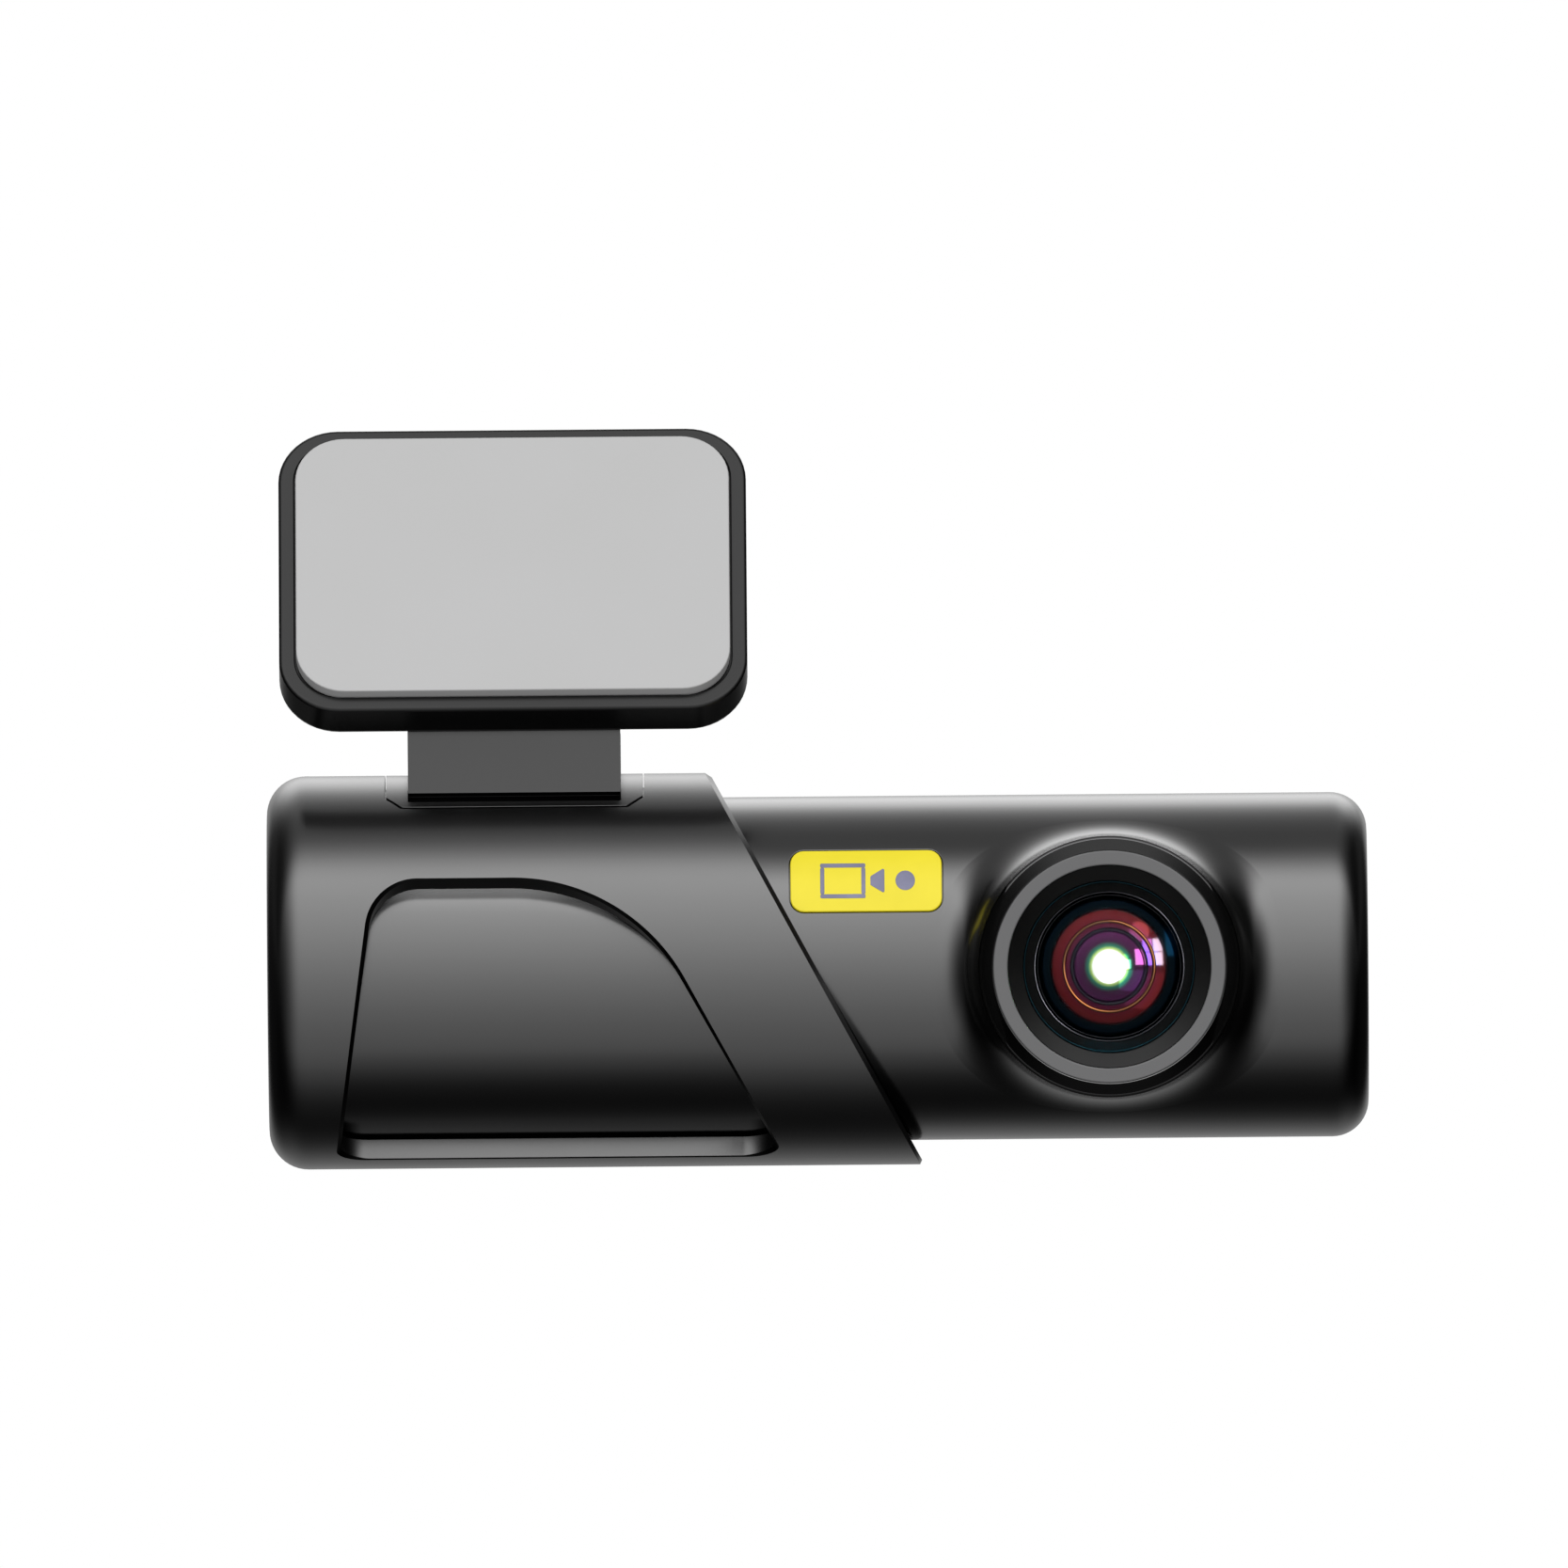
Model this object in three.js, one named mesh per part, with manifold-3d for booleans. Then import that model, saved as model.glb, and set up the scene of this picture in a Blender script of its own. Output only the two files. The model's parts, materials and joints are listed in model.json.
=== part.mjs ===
// Windscreen dash camera, in millimetres, +Z up, the lens looking along -Y.
// A cylindrical camera turns in a cradle sleeve, which hangs by a hinged neck from an adhesive plate.
// Pieces are drawn in the barrel frame: X is the barrel's own axis, and x = 0 is the middle of its length.
// The last group moves everything so that the origin is the centre of the adhesive face.

import * as THREE from 'three';
import { mergeVertices } from 'three/addons/utils/BufferGeometryUtils.js';
import Module from 'manifold-3d';

// ---------------------------------------------------------------- driving dimensions

const GAP = 0.3; // clearance between neighbouring pieces
const HALF_LENGTH = 45; // half of the overall length

// camera barrel
const BARREL_R = 14.1;
const BARREL_IN_R = 12.5;
const BARREL_END_FILLET = 2.9;
const BARREL_END_WALL = 1.6;

// cradle sleeve
const SLEEVE_R = 16.1;
const SLEEVE_IN_R = BARREL_R + GAP;
const SLEEVE_FILLET = 3.5;
const FLANGE = 1.6; // thickness of its left end
const MOUTH_R = 9.3; // opening of that end
const CUT_X = -0.07; // where the oblique edge crosses the axis
const CUT_SLOPE = -0.539; // x gained per mm of height along that edge
const BARREL_LEFT = -HALF_LENGTH + FLANGE + GAP;

// lens boss, on an axis along Y
const LENS_X = 23.8;
const BOSS_R = 10.4;
const BOSS_FRONT = -17.6;
const BORE_R = 8.3;
const TRIM_R = 9.5;

// mount plate, leaning back from the vertical
const PLATE = { width: 38.3, height: 27.1, thick: 3.8, corner: 4.9, lean: 32 };
const PAD = { width: 35.5, height: 24.4, thick: 1.1, corner: 4.0, proud: 0.85 };
const PAD_CENTRE = { x: -24.7, y: -4.0, z: 33.4 }; // centre of the adhesive face

// hinge between plate and neck
const PIVOT = { y: -1.35, z: 22.84 };
const EAR = { from: 4.3, to: 7.8, r: 3.0 };
const KNUCKLE = { half: 4.0, r: 2.9 };
const HINGE_BORE_R = 1.5;

// neck and its foot, a flush insert in the top of the sleeve
const NECK_HALF_WIDTH = 8.7;
const NECK_HALF_DEPTH = 6.5;
const FOOT = { halfWidth: 10.5, halfNarrow: 9.2, edge: 57, shoulder: 62.6, thick: 0.85 };

// window in the sleeve's front wall, as seen from the front: its corners are [x, z, radius]
const WINDOW = [
  [-39.23, -15.31, 1.5],
  [-3.18, -15.31, 1.5],
  [-15.78, 7.6, 13.0],
  [-36.12, 7.6, 4.2],
];

// badge on the barrel, as seen from the front
const BADGE = { left: -2.2, right: 10.2, low: 4.82, high: 9.7, corner: 1.1, r: BARREL_R + 0.08 };

// turning stop: a lug on the barrel's end runs in a groove of the flange, which a rib interrupts
const STOP = { rIn: 12.8, rOut: 13.8, halfWidth: 1.6, reach: 0.8 };

// boards and what they carry, as [low, high] along each axis
const MAIN_BOARD = { x: [-40.5, 12], y: [-11.3, 11.3], z: [-1, 0] };
const SENSOR_BOARD = { x: [14.3, 33.3], y: [3.5, 4.5], z: [-9, 9] };
const BUTTON_BOARD = { x: [14.3, 33.3], y: [6.8, 7.6], z: [-5, 5] };
const USB = { height: 3.2, width: 8.9, z: 1.9, left: -44.3, right: -36.9 };
const CARD = { length: 15, width: 11, thick: 1.0, z: -2.4, left: -44.9 };
const BUTTON = { x: 24, r: 3.2, travel: 0.4 };
const SPEAKER = { x: 39, r: 4.2 };
const UPRIGHTS_X = [15.7, 32.1]; // the inner frame's uprights, and the screws of the two small boards
const POSTS_X = [-23.3, 2.2]; // the inner frame's posts, and the main board's screws
const POST_Y = 4.0;

const ROUND = 40; // facets round a large piece
const MEDIUM = 24;
const SMALL = 12;
const CORNER = 3; // half of the facets along an outline's arc

// ---------------------------------------------------------------- solids from geometries

const wasm = await Module();
wasm.setup();

function signedVolume(position, corners) {
  const [a, b, c] = [new THREE.Vector3(), new THREE.Vector3(), new THREE.Vector3()];
  let sum = 0;
  for (let i = 0; i < corners.length; i += 3) {
    a.fromBufferAttribute(position, corners[i]);
    b.fromBufferAttribute(position, corners[i + 1]);
    c.fromBufferAttribute(position, corners[i + 2]);
    sum += a.dot(b.cross(c));
  }
  return sum / 6;
}

// A closed geometry as a solid: shared vertices merged, flat triangles dropped, faces turned out.
function solid(geometry) {
  geometry.deleteAttribute('normal');
  geometry.deleteAttribute('uv');
  const merged = mergeVertices(geometry, 1e-4);
  const corners = [];
  for (let i = 0; i < merged.index.count; i += 3) {
    const [a, b, c] = [0, 1, 2].map((k) => merged.index.getX(i + k));
    if (a !== b && b !== c && c !== a) corners.push(a, b, c);
  }
  if (signedVolume(merged.attributes.position, corners) < 0) corners.reverse();
  return new wasm.Manifold(new wasm.Mesh({
    numProp: 3,
    vertProperties: new Float32Array(merged.attributes.position.array),
    triVerts: new Uint32Array(corners),
  }));
}

function piece(name, shape, look) {
  const result = shape.getMesh();
  const geometry = new THREE.BufferGeometry();
  geometry.setAttribute('position', new THREE.BufferAttribute(result.vertProperties, 3));
  geometry.setIndex(new THREE.BufferAttribute(result.triVerts, 1));
  geometry.computeVertexNormals();
  const mesh = new THREE.Mesh(geometry, look);
  mesh.name = name;
  return mesh;
}

function join(...shapes) {
  return shapes.reduce((whole, shape) => whole.add(shape));
}

function cut(shape, ...tools) {
  return tools.reduce((rest, tool) => rest.subtract(tool), shape);
}

const AXES = {
  x: new THREE.Matrix4().makeBasis(
    new THREE.Vector3(0, 1, 0), new THREE.Vector3(0, 0, 1), new THREE.Vector3(1, 0, 0)),
  y: new THREE.Matrix4().makeBasis(
    new THREE.Vector3(1, 0, 0), new THREE.Vector3(0, 0, 1), new THREE.Vector3(0, -1, 0)),
  z: new THREE.Matrix4(),
};

// A box between two corners, given as [low, high] along each axis.
function block({ x, y, z }) {
  const box = new THREE.BoxGeometry(x[1] - x[0], y[1] - y[0], z[1] - z[0]);
  box.translate((x[0] + x[1]) / 2, (y[0] + y[1]) / 2, (z[0] + z[1]) / 2);
  return solid(box);
}

// An outline extruded from one station to another: along X its plane is (y, z), along Y it is (x, z).
function extruded(outline, axis, [low, high], options = {}) {
  const settings = { depth: high - low, bevelEnabled: false, curveSegments: CORNER, ...options };
  const geometry = new THREE.ExtrudeGeometry(outline, settings);
  geometry.translate(0, 0, axis === 'y' ? -high : low);
  geometry.applyMatrix4(AXES[axis]);
  return solid(geometry);
}

// A profile of [station, radius] points turned round an axis, which passes through at.
function turned(profile, axis, at = {}, facets = ROUND) {
  const points = profile.map(([station, r]) => new THREE.Vector2(r, station));
  const geometry = new THREE.LatheGeometry(points, facets);
  if (axis === 'x') geometry.rotateZ(-Math.PI / 2);
  if (axis === 'z') geometry.rotateX(Math.PI / 2);
  geometry.translate(at.x ?? 0, at.y ?? 0, at.z ?? 0);
  return solid(geometry);
}

function rod(axis, [low, high], r, at = {}, facets = SMALL) {
  return turned([[low, 0], [low, r], [high, r], [high, 0]], axis, at, facets);
}

function tube(axis, [low, high], rIn, rOut, at = {}, facets = ROUND) {
  return turned([[low, rIn], [low, rOut], [high, rOut], [high, rIn], [low, rIn]], axis, at, facets);
}

// Points of a quarter circle on a profile, from angle to angle in degrees.
function arc(x, r, radius, from, to, steps = 4) {
  return Array.from({ length: steps + 1 }, (_, i) => {
    const angle = THREE.MathUtils.degToRad(from + ((to - from) * i) / steps);
    return [x + radius * Math.cos(angle), r + radius * Math.sin(angle)];
  });
}

// ---------------------------------------------------------------- outlines

// A closed outline with rounded corners, each given as [x, y, radius].
function roundedOutline(corners) {
  const outline = new THREE.Shape();
  corners.forEach(([x, y, radius], i) => {
    const corner = new THREE.Vector2(x, y);
    const [back, ahead] = [corners.length - 1, 1].map((step) => {
      const [nx, ny] = corners[(i + step) % corners.length];
      return new THREE.Vector2(nx, ny).sub(corner).normalize();
    });
    const half = Math.acos(back.dot(ahead)) / 2;
    const toTangent = radius / Math.tan(half);
    const centre = back.clone().add(ahead).normalize().multiplyScalar(radius / Math.sin(half)).add(corner);
    const start = back.clone().multiplyScalar(toTangent).add(corner).sub(centre);
    const end = ahead.clone().multiplyScalar(toTangent).add(corner).sub(centre);
    outline.absarc(centre.x, centre.y, radius, start.angle(), end.angle(), back.cross(ahead) > 0);
  });
  outline.closePath();
  return outline;
}

function roundedRectangle(width, height, radius, x = 0, y = 0) {
  const [right, top] = [x + width / 2, y + height / 2];
  const [left, bottom] = [x - width / 2, y - height / 2];
  return roundedOutline([
    [left, bottom, radius], [right, bottom, radius], [right, top, radius], [left, top, radius],
  ]);
}

// A half-round lug: a semicircle round a centre, with straight sides down to a base line.
function lugOutline(x, y, radius, base) {
  const outline = new THREE.Shape();
  const down = base < y;
  outline.moveTo(x + radius, base);
  outline.absarc(x, y, radius, 0, Math.PI, !down);
  outline.lineTo(x - radius, base);
  outline.closePath();
  return outline;
}

// Points along an outline, no further apart than step.
function sampled(outline, step) {
  return outline.curves.flatMap((curve) => {
    const parts = Math.max(1, Math.ceil(curve.getLength() / step));
    return curve.getPoints(parts).slice(1);
  });
}

// An outline seen from the front, as [x, angle up from the front] on a cylinder of radius r.
function laidOn(outline, r, step = 2) {
  return sampled(outline, step).map((point) => new THREE.Vector2(point.x, Math.asin(point.y / r)));
}

// A radial prism round the barrel's axis, from points of [x, angle up from the front in radians].
// Its own ends are far from the wall that it cuts or meets, because they are chords.
function radialPrism(points) {
  const ends = { inner: 8, outer: 32 };
  const geometry = new THREE.ExtrudeGeometry(new THREE.Shape(points), { depth: 1, bevelEnabled: false });
  const spots = geometry.attributes.position;
  for (let i = 0; i < spots.count; i += 1) {
    const r = THREE.MathUtils.lerp(ends.inner, ends.outer, spots.getZ(i));
    const angle = spots.getY(i);
    spots.setXYZ(i, spots.getX(i), -r * Math.cos(angle), r * Math.sin(angle));
  }
  return solid(geometry);
}

// The part of a radial prism between two radii.
function curvedPatch(points, rIn, rOut) {
  return tube('x', [-HALF_LENGTH, HALF_LENGTH], rIn, rOut).intersect(radialPrism(points));
}

function footPoints(margin) {
  const wide = FOOT.halfWidth + margin;
  const narrow = FOOT.halfNarrow + margin;
  const slack = THREE.MathUtils.radToDeg(margin / SLEEVE_R);
  const [edge, shoulder] = [FOOT.edge - slack, FOOT.shoulder - slack];
  const spots = [
    [-narrow, edge], [narrow, edge], [wide, shoulder], [wide, 180 - shoulder],
    [narrow, 180 - edge], [-narrow, 180 - edge], [-wide, 180 - shoulder], [-wide, shoulder],
  ];
  return spots.map(([x, angle]) => new THREE.Vector2(PAD_CENTRE.x + x, THREE.MathUtils.degToRad(angle)));
}

function badgePoints(margin) {
  const width = BADGE.right - BADGE.left + 2 * margin;
  const height = BADGE.high - BADGE.low + 2 * margin;
  const outline = roundedRectangle(
    width, height, BADGE.corner + margin, (BADGE.left + BADGE.right) / 2, (BADGE.low + BADGE.high) / 2);
  return laidOn(outline, BADGE.r, 1.2);
}

// ---------------------------------------------------------------- looks

function look(color, roughness, metalness = 0) {
  return new THREE.MeshStandardMaterial({ color, roughness, metalness });
}

const BLACK = look(0x17181a, 0.42);
const SOFT_BLACK = look(0x1d1e20, 0.55);
const DEEP_BLACK = look(0x08080a, 0.6);
const PAD_GREY = look(0xcdcdcd, 0.8);
const YELLOW = look(0xf2e22c, 0.4);
const TRIM_GREY = look(0x6a6b6d, 0.45);
const RUBBER = look(0x101010, 0.9);
const STEEL = look(0x8d9094, 0.35, 0.9);
const ALUMINIUM = look(0xb4b7ba, 0.4, 0.9);
const GLASS = look(0x2c3a4a, 0.08);
const FILTER_GLASS = look(0x4fb0c6, 0.1);
const BOARD_GREEN = look(0x1f5a38, 0.6);
const CHIP = look(0x202225, 0.6);
const FLEX = look(0x9c5b1e, 0.5);
const CLEAR = look(0xdfe8ee, 0.2);

// ---------------------------------------------------------------- mount plate and hinge

// These are drawn in the plate's own frame: x across, y up the plate, z out of the adhesive face.
const HINGE = (() => {
  const lean = THREE.MathUtils.degToRad(PLATE.lean);
  const [dy, dz] = [PIVOT.y - PAD_CENTRE.y, PIVOT.z - PAD_CENTRE.z];
  return {
    y: dy * Math.sin(lean) + dz * Math.cos(lean),
    z: -dy * Math.cos(lean) + dz * Math.sin(lean),
  };
})();
const PLATE_FRONT = -PAD.proud;
const PLATE_BACK = PLATE_FRONT - PLATE.thick;

function adhesivePad() {
  const outline = roundedRectangle(PAD.width, PAD.height, PAD.corner);
  return piece('adhesive_pad', extruded(outline, 'z', [-PAD.thick, 0]), PAD_GREY);
}

function mountPlate() {
  const bevel = 0.4;
  const body = roundedRectangle(
    PLATE.width - 2 * bevel, PLATE.height - 2 * bevel, PLATE.corner - bevel);
  const slab = extruded(body, 'z', [PLATE_BACK + bevel, PLATE_FRONT - bevel], {
    bevelEnabled: true, bevelSize: bevel, bevelThickness: bevel, bevelSegments: 1,
  });
  const pocket = extruded(
    roundedRectangle(PAD.width + 2 * GAP, PAD.height + 2 * GAP, PAD.corner + GAP),
    'z', [-PAD.thick - GAP, 1]);
  const ear = lugOutline(HINGE.y, HINGE.z, EAR.r, PLATE_BACK + 0.8);
  const ears = [-1, 1].map((side) => {
    const span = [side * EAR.from, side * EAR.to].sort((a, b) => a - b);
    return extruded(ear, 'x', span, { curveSegments: 2 * CORNER });
  });
  const bore = rod('x', [-EAR.to - 1, EAR.to + 1], HINGE_BORE_R, HINGE);
  const headPocket = rod('x', [EAR.to - 1.5, EAR.to + 1], 2.3, HINGE, 16);
  const nutPocket = rod('x', [-EAR.to - 1, -EAR.to + 1.8], 2.65, HINGE, 6);
  return piece('mount_plate', cut(join(slab, ...ears), pocket, bore, headPocket, nutPocket), SOFT_BLACK);
}

function hingeScrew() {
  const shank = rod('x', [-EAR.to + 0.2, EAR.to - 1], 1.2, HINGE);
  const head = rod('x', [EAR.to - 1.2, EAR.to], 2.0, HINGE, 16);
  const slots = [[2.6, 0.6], [0.6, 2.6]].map(([dy, dz]) => block({
    x: [EAR.to - 0.6, EAR.to + 1],
    y: [HINGE.y - dy / 2, HINGE.y + dy / 2],
    z: [HINGE.z - dz / 2, HINGE.z + dz / 2],
  }));
  return piece('hinge_screw', cut(join(shank, head), ...slots), STEEL);
}

function hingeNut() {
  const hexagon = rod('x', [-EAR.to, -EAR.to + 1.5], 2.3, HINGE, 6);
  return piece('hinge_nut', cut(hexagon, rod('x', [-EAR.to - 1, 0], HINGE_BORE_R, HINGE)), STEEL);
}

function plateGroup() {
  const group = new THREE.Group();
  group.add(adhesivePad(), mountPlate(), hingeScrew(), hingeNut());
  group.position.set(PAD_CENTRE.x, PAD_CENTRE.y, PAD_CENTRE.z);
  group.rotation.x = THREE.MathUtils.degToRad(90 - PLATE.lean);
  return group;
}

// ---------------------------------------------------------------- cradle: neck, foot and sleeve

const FOOT_R = SLEEVE_R - FOOT.thick; // underside of the foot
const PEG_SPOTS = [-7.5, 7.5].flatMap((dx) => [-4, 4].map((y) => ({ x: PAD_CENTRE.x + dx, y })));

function neckSpan(half) {
  return [PAD_CENTRE.x - half, PAD_CENTRE.x + half];
}

function mountNeck() {
  const [lip, shelf, root] = [19.9, 19.4, 12];
  const profile = roundedOutline([
    [-NECK_HALF_DEPTH, root, 0.1], [NECK_HALF_DEPTH, root, 0.1], [NECK_HALF_DEPTH, shelf, 1.8],
    [-5.0, shelf, 0.1], [-5.4, lip, 0.1], [-NECK_HALF_DEPTH, lip, 0.2],
  ]);
  const stem = extruded(profile, 'x', neckSpan(NECK_HALF_WIDTH));
  const lug = lugOutline(PIVOT.y, PIVOT.z, KNUCKLE.r, shelf - 1);
  const knuckle = extruded(lug, 'x', neckSpan(KNUCKLE.half), { curveSegments: 2 * CORNER });
  const bore = rod('x', neckSpan(KNUCKLE.half + 1), HINGE_BORE_R, PIVOT);
  const hollow = rod('x', neckSpan(NECK_HALF_WIDTH + 1), FOOT_R, {}, ROUND);
  const foot = curvedPatch(footPoints(0), FOOT_R, SLEEVE_R);
  const pegs = PEG_SPOTS.map((spot) => rod('z', [14.15, 15.4], 1.0, spot, 12));
  return piece('mount_neck', join(cut(join(stem, knuckle), bore, hollow), foot, ...pegs), SOFT_BLACK);
}

function cradleSleeve() {
  const left = -HALF_LENGTH;
  const inner = left + FLANGE;
  const blank = turned([
    [10, SLEEVE_IN_R], [10, SLEEVE_R],
    ...arc(left + SLEEVE_FILLET, SLEEVE_R - SLEEVE_FILLET, SLEEVE_FILLET, 90, 180),
    [left, MOUTH_R + 0.3], [left + 0.3, MOUTH_R], [inner, MOUTH_R], [inner, SLEEVE_IN_R],
    [10, SLEEVE_IN_R],
  ], 'x');
  const beyond = new THREE.BoxGeometry(60, 60, 90).translate(30, 0, 0);
  beyond.rotateY(Math.atan(CUT_SLOPE)).translate(CUT_X, 0, 0);
  const window = radialPrism(laidOn(roundedOutline(WINDOW), SLEEVE_R));
  const footSeat = curvedPatch(footPoints(GAP), FOOT_R - GAP, SLEEVE_R + 3);
  const pegHoles = PEG_SPOTS.map((spot) => rod('z', [12, 18], 1.0 + GAP, spot, 12));
  const groove = tube('x', [inner - STOP.reach, inner + 0.1], STOP.rIn - GAP, STOP.rOut + GAP);
  const rib = block({ x: [left, 0], y: [-STOP.halfWidth, STOP.halfWidth], z: [-SLEEVE_R, 0] });
  return piece('cradle_sleeve',
    cut(blank, solid(beyond), window, footSeat, ...pegHoles, cut(groove, rib)), BLACK);
}

// ---------------------------------------------------------------- camera barrel

const PANEL_SCREWS = [90, 225, 315].map((degrees) => {
  const angle = THREE.MathUtils.degToRad(degrees);
  return { y: 10.4 * Math.cos(angle), z: 10.4 * Math.sin(angle) };
});
const RING_GROOVE = { x: [-42.2, -40.3], r: 13.2 };
const AT_LENS = { x: LENS_X };

// A cutter through the barrel's back wall, turned round the axis by an angle.
function backCutter(geometry, degrees = 0) {
  geometry.rotateX(THREE.MathUtils.degToRad(degrees));
  return solid(geometry);
}

function backHole(x, z, r, facets = 12) {
  return rod('y', [8, 20], r, { x, z }, facets);
}

function barrelShell() {
  const endIn = HALF_LENGTH - BARREL_END_WALL;
  const blank = turned([
    [endIn, 0], [endIn, BARREL_IN_R - 1.5], [endIn - 1.5, BARREL_IN_R],
    [BARREL_LEFT, BARREL_IN_R], [BARREL_LEFT, BARREL_R],
    ...arc(HALF_LENGTH - BARREL_END_FILLET, BARREL_R - BARREL_END_FILLET, BARREL_END_FILLET, 90, 0),
    [HALF_LENGTH, 0],
  ], 'x');
  const inside = rod('x', [BARREL_LEFT - 1, endIn - 1.5], BARREL_IN_R, {}, ROUND);
  const boss = cut(turned([
    [BOSS_FRONT, 0], [BOSS_FRONT, BOSS_R - 0.5], [BOSS_FRONT + 0.5, BOSS_R], [-6.5, BOSS_R], [-6.5, 0],
  ], 'y', AT_LENS), inside);
  const screwPosts = PANEL_SCREWS.map((spot) => rod('x', [BARREL_LEFT + 2.3, -35], 2.3, spot));
  const speakerRib = cut(
    tube('y', [8.5, 12.2], SPEAKER.r + GAP, SPEAKER.r + 0.9, { x: SPEAKER.x }, MEDIUM),
    rod('x', [endIn - 0.5, HALF_LENGTH + 5], BARREL_R, {}, SMALL));
  const lug = tube('x', [BARREL_LEFT - STOP.reach, BARREL_LEFT + 0.2], STOP.rIn, STOP.rOut).intersect(
    block({ x: [-HALF_LENGTH, 0], y: [-STOP.halfWidth, STOP.halfWidth], z: [0, BARREL_R] }));
  const openings = [
    rod('y', [BOSS_FRONT - 1, -5], BORE_R, AT_LENS, ROUND),
    rod('y', [BOSS_FRONT - 1, BOSS_FRONT + 1.5], TRIM_R + GAP, AT_LENS, ROUND),
    tube('x', RING_GROOVE.x, RING_GROOVE.r, BARREL_R + 1),
    curvedPatch(badgePoints(GAP), BADGE.r - 0.68, BARREL_R + 1),
    backHole(BUTTON.x, 0, BUTTON.r + GAP, MEDIUM),
    backHole(30, 0, 1.2),
    backHole(18, 0, 0.6),
    ...PANEL_SCREWS.map((spot) => rod('x', [BARREL_LEFT, -36], 1.1, spot)),
    ...speakerHoles(),
    ...ventSlots(),
  ];
  return piece('barrel_shell', cut(join(blank, boss, ...screwPosts, speakerRib, lug), ...openings), BLACK);
}

function speakerHoles() {
  const ring = Array.from({ length: 6 }, (_, i) => {
    const angle = (i * Math.PI) / 3;
    return [SPEAKER.x + 2.2 * Math.cos(angle), 2.2 * Math.sin(angle)];
  });
  return [[SPEAKER.x, 0], ...ring].map(([x, z]) => backHole(x, z, 0.55, 8));
}

function ventSlots() {
  return [34, 44, 54].map((degrees) => {
    const slot = new THREE.BoxGeometry(14, 8, 0.9).translate(LENS_X, BARREL_R, 0);
    return backCutter(slot, degrees);
  });
}

function frictionRing() {
  const [low, high] = RING_GROOVE.x;
  const ring = tube('x', [low + 0.25, high - 0.25], RING_GROOVE.r + GAP, BARREL_R);
  return piece('friction_ring', ring, RUBBER);
}

function portPanel() {
  const face = -HALF_LENGTH + 0.3;
  const disc = turned([
    [face, 0], [face, MOUTH_R - GAP], [BARREL_LEFT, MOUTH_R - GAP], [BARREL_LEFT, BARREL_IN_R - GAP],
    [BARREL_LEFT + 2, BARREL_IN_R - GAP], [BARREL_LEFT + 2, 0],
  ], 'x');
  const usbHole = extruded(
    roundedRectangle(USB.width + 0.6, USB.height + 0.6, 1.8, 0, USB.z), 'x', [-50, -30]);
  const halfSlot = CARD.width / 2 + GAP;
  const cardSlot = block({
    x: [-50, -30], y: [-halfSlot, halfSlot], z: [CARD.z - 0.8, CARD.z + 0.8],
  });
  const resetHole = rod('x', [-50, -30], 0.5, { y: 5.2, z: -5.4 }, 12);
  const screwHoles = PANEL_SCREWS.flatMap((spot) => [
    rod('x', [-50, -30], 1.1, spot), rod('x', [-50, BARREL_LEFT + 1.2], 1.5, spot),
  ]);
  return piece('port_panel', cut(disc, usbHole, cardSlot, resetHole, ...screwHoles), SOFT_BLACK);
}

function badge() {
  return piece('badge', curvedPatch(badgePoints(0), BADGE.r - 0.38, BADGE.r), YELLOW);
}

// A pan-head screw along an axis: its head ends at start, and its shank runs towards end.
function screw(name, axis, at, start, end, { head = 1.2, shank = 0.8, headHeight = 0.8 } = {}) {
  const step = Math.sign(end - start);
  const neck = start + step * headHeight;
  const profile = [[start, 0], [start, head], [neck, head], [neck, shank], [end, shank], [end, 0]];
  return piece(name, turned(profile, axis, at, 12), STEEL);
}

function panelScrews() {
  return PANEL_SCREWS.map((spot, i) =>
    screw(`port_panel_screw_${i + 1}`, 'x', spot, BARREL_LEFT + 0.1, -37, { headHeight: 0.8 }));
}

function lockButton() {
  const cap = BARREL_R + 0.4;
  const button = turned([
    [10.4, 0], [10.4, 4.0], [11.3, 4.0], [11.3, BUTTON.r], [cap - 0.5, BUTTON.r],
    [cap - 0.1, BUTTON.r - 0.5], [cap, BUTTON.r - 1.6], [cap, 0],
  ], 'y', { x: BUTTON.x }, MEDIUM);
  return piece('lock_button', button, SOFT_BLACK);
}

// ---------------------------------------------------------------- lens

function lensTurned(name, profile, material, facets = MEDIUM) {
  return piece(name, turned(profile, 'y', AT_LENS, facets), material);
}

// Points of a lens face from the axis out to its rim: sag is how far its middle stands from its edge.
function lensFace(edge, sag, r, steps = 3) {
  return Array.from({ length: steps + 1 }, (_, i) => {
    const at = (r * i) / steps;
    return [edge + sag * (1 - (at / r) ** 2), at];
  });
}

function lensElement(name, [front, back], [frontSag, backSag], r) {
  const profile = [...lensFace(front, frontSag, r), ...lensFace(back, backSag, r).reverse()];
  return lensTurned(name, profile, GLASS);
}

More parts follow.
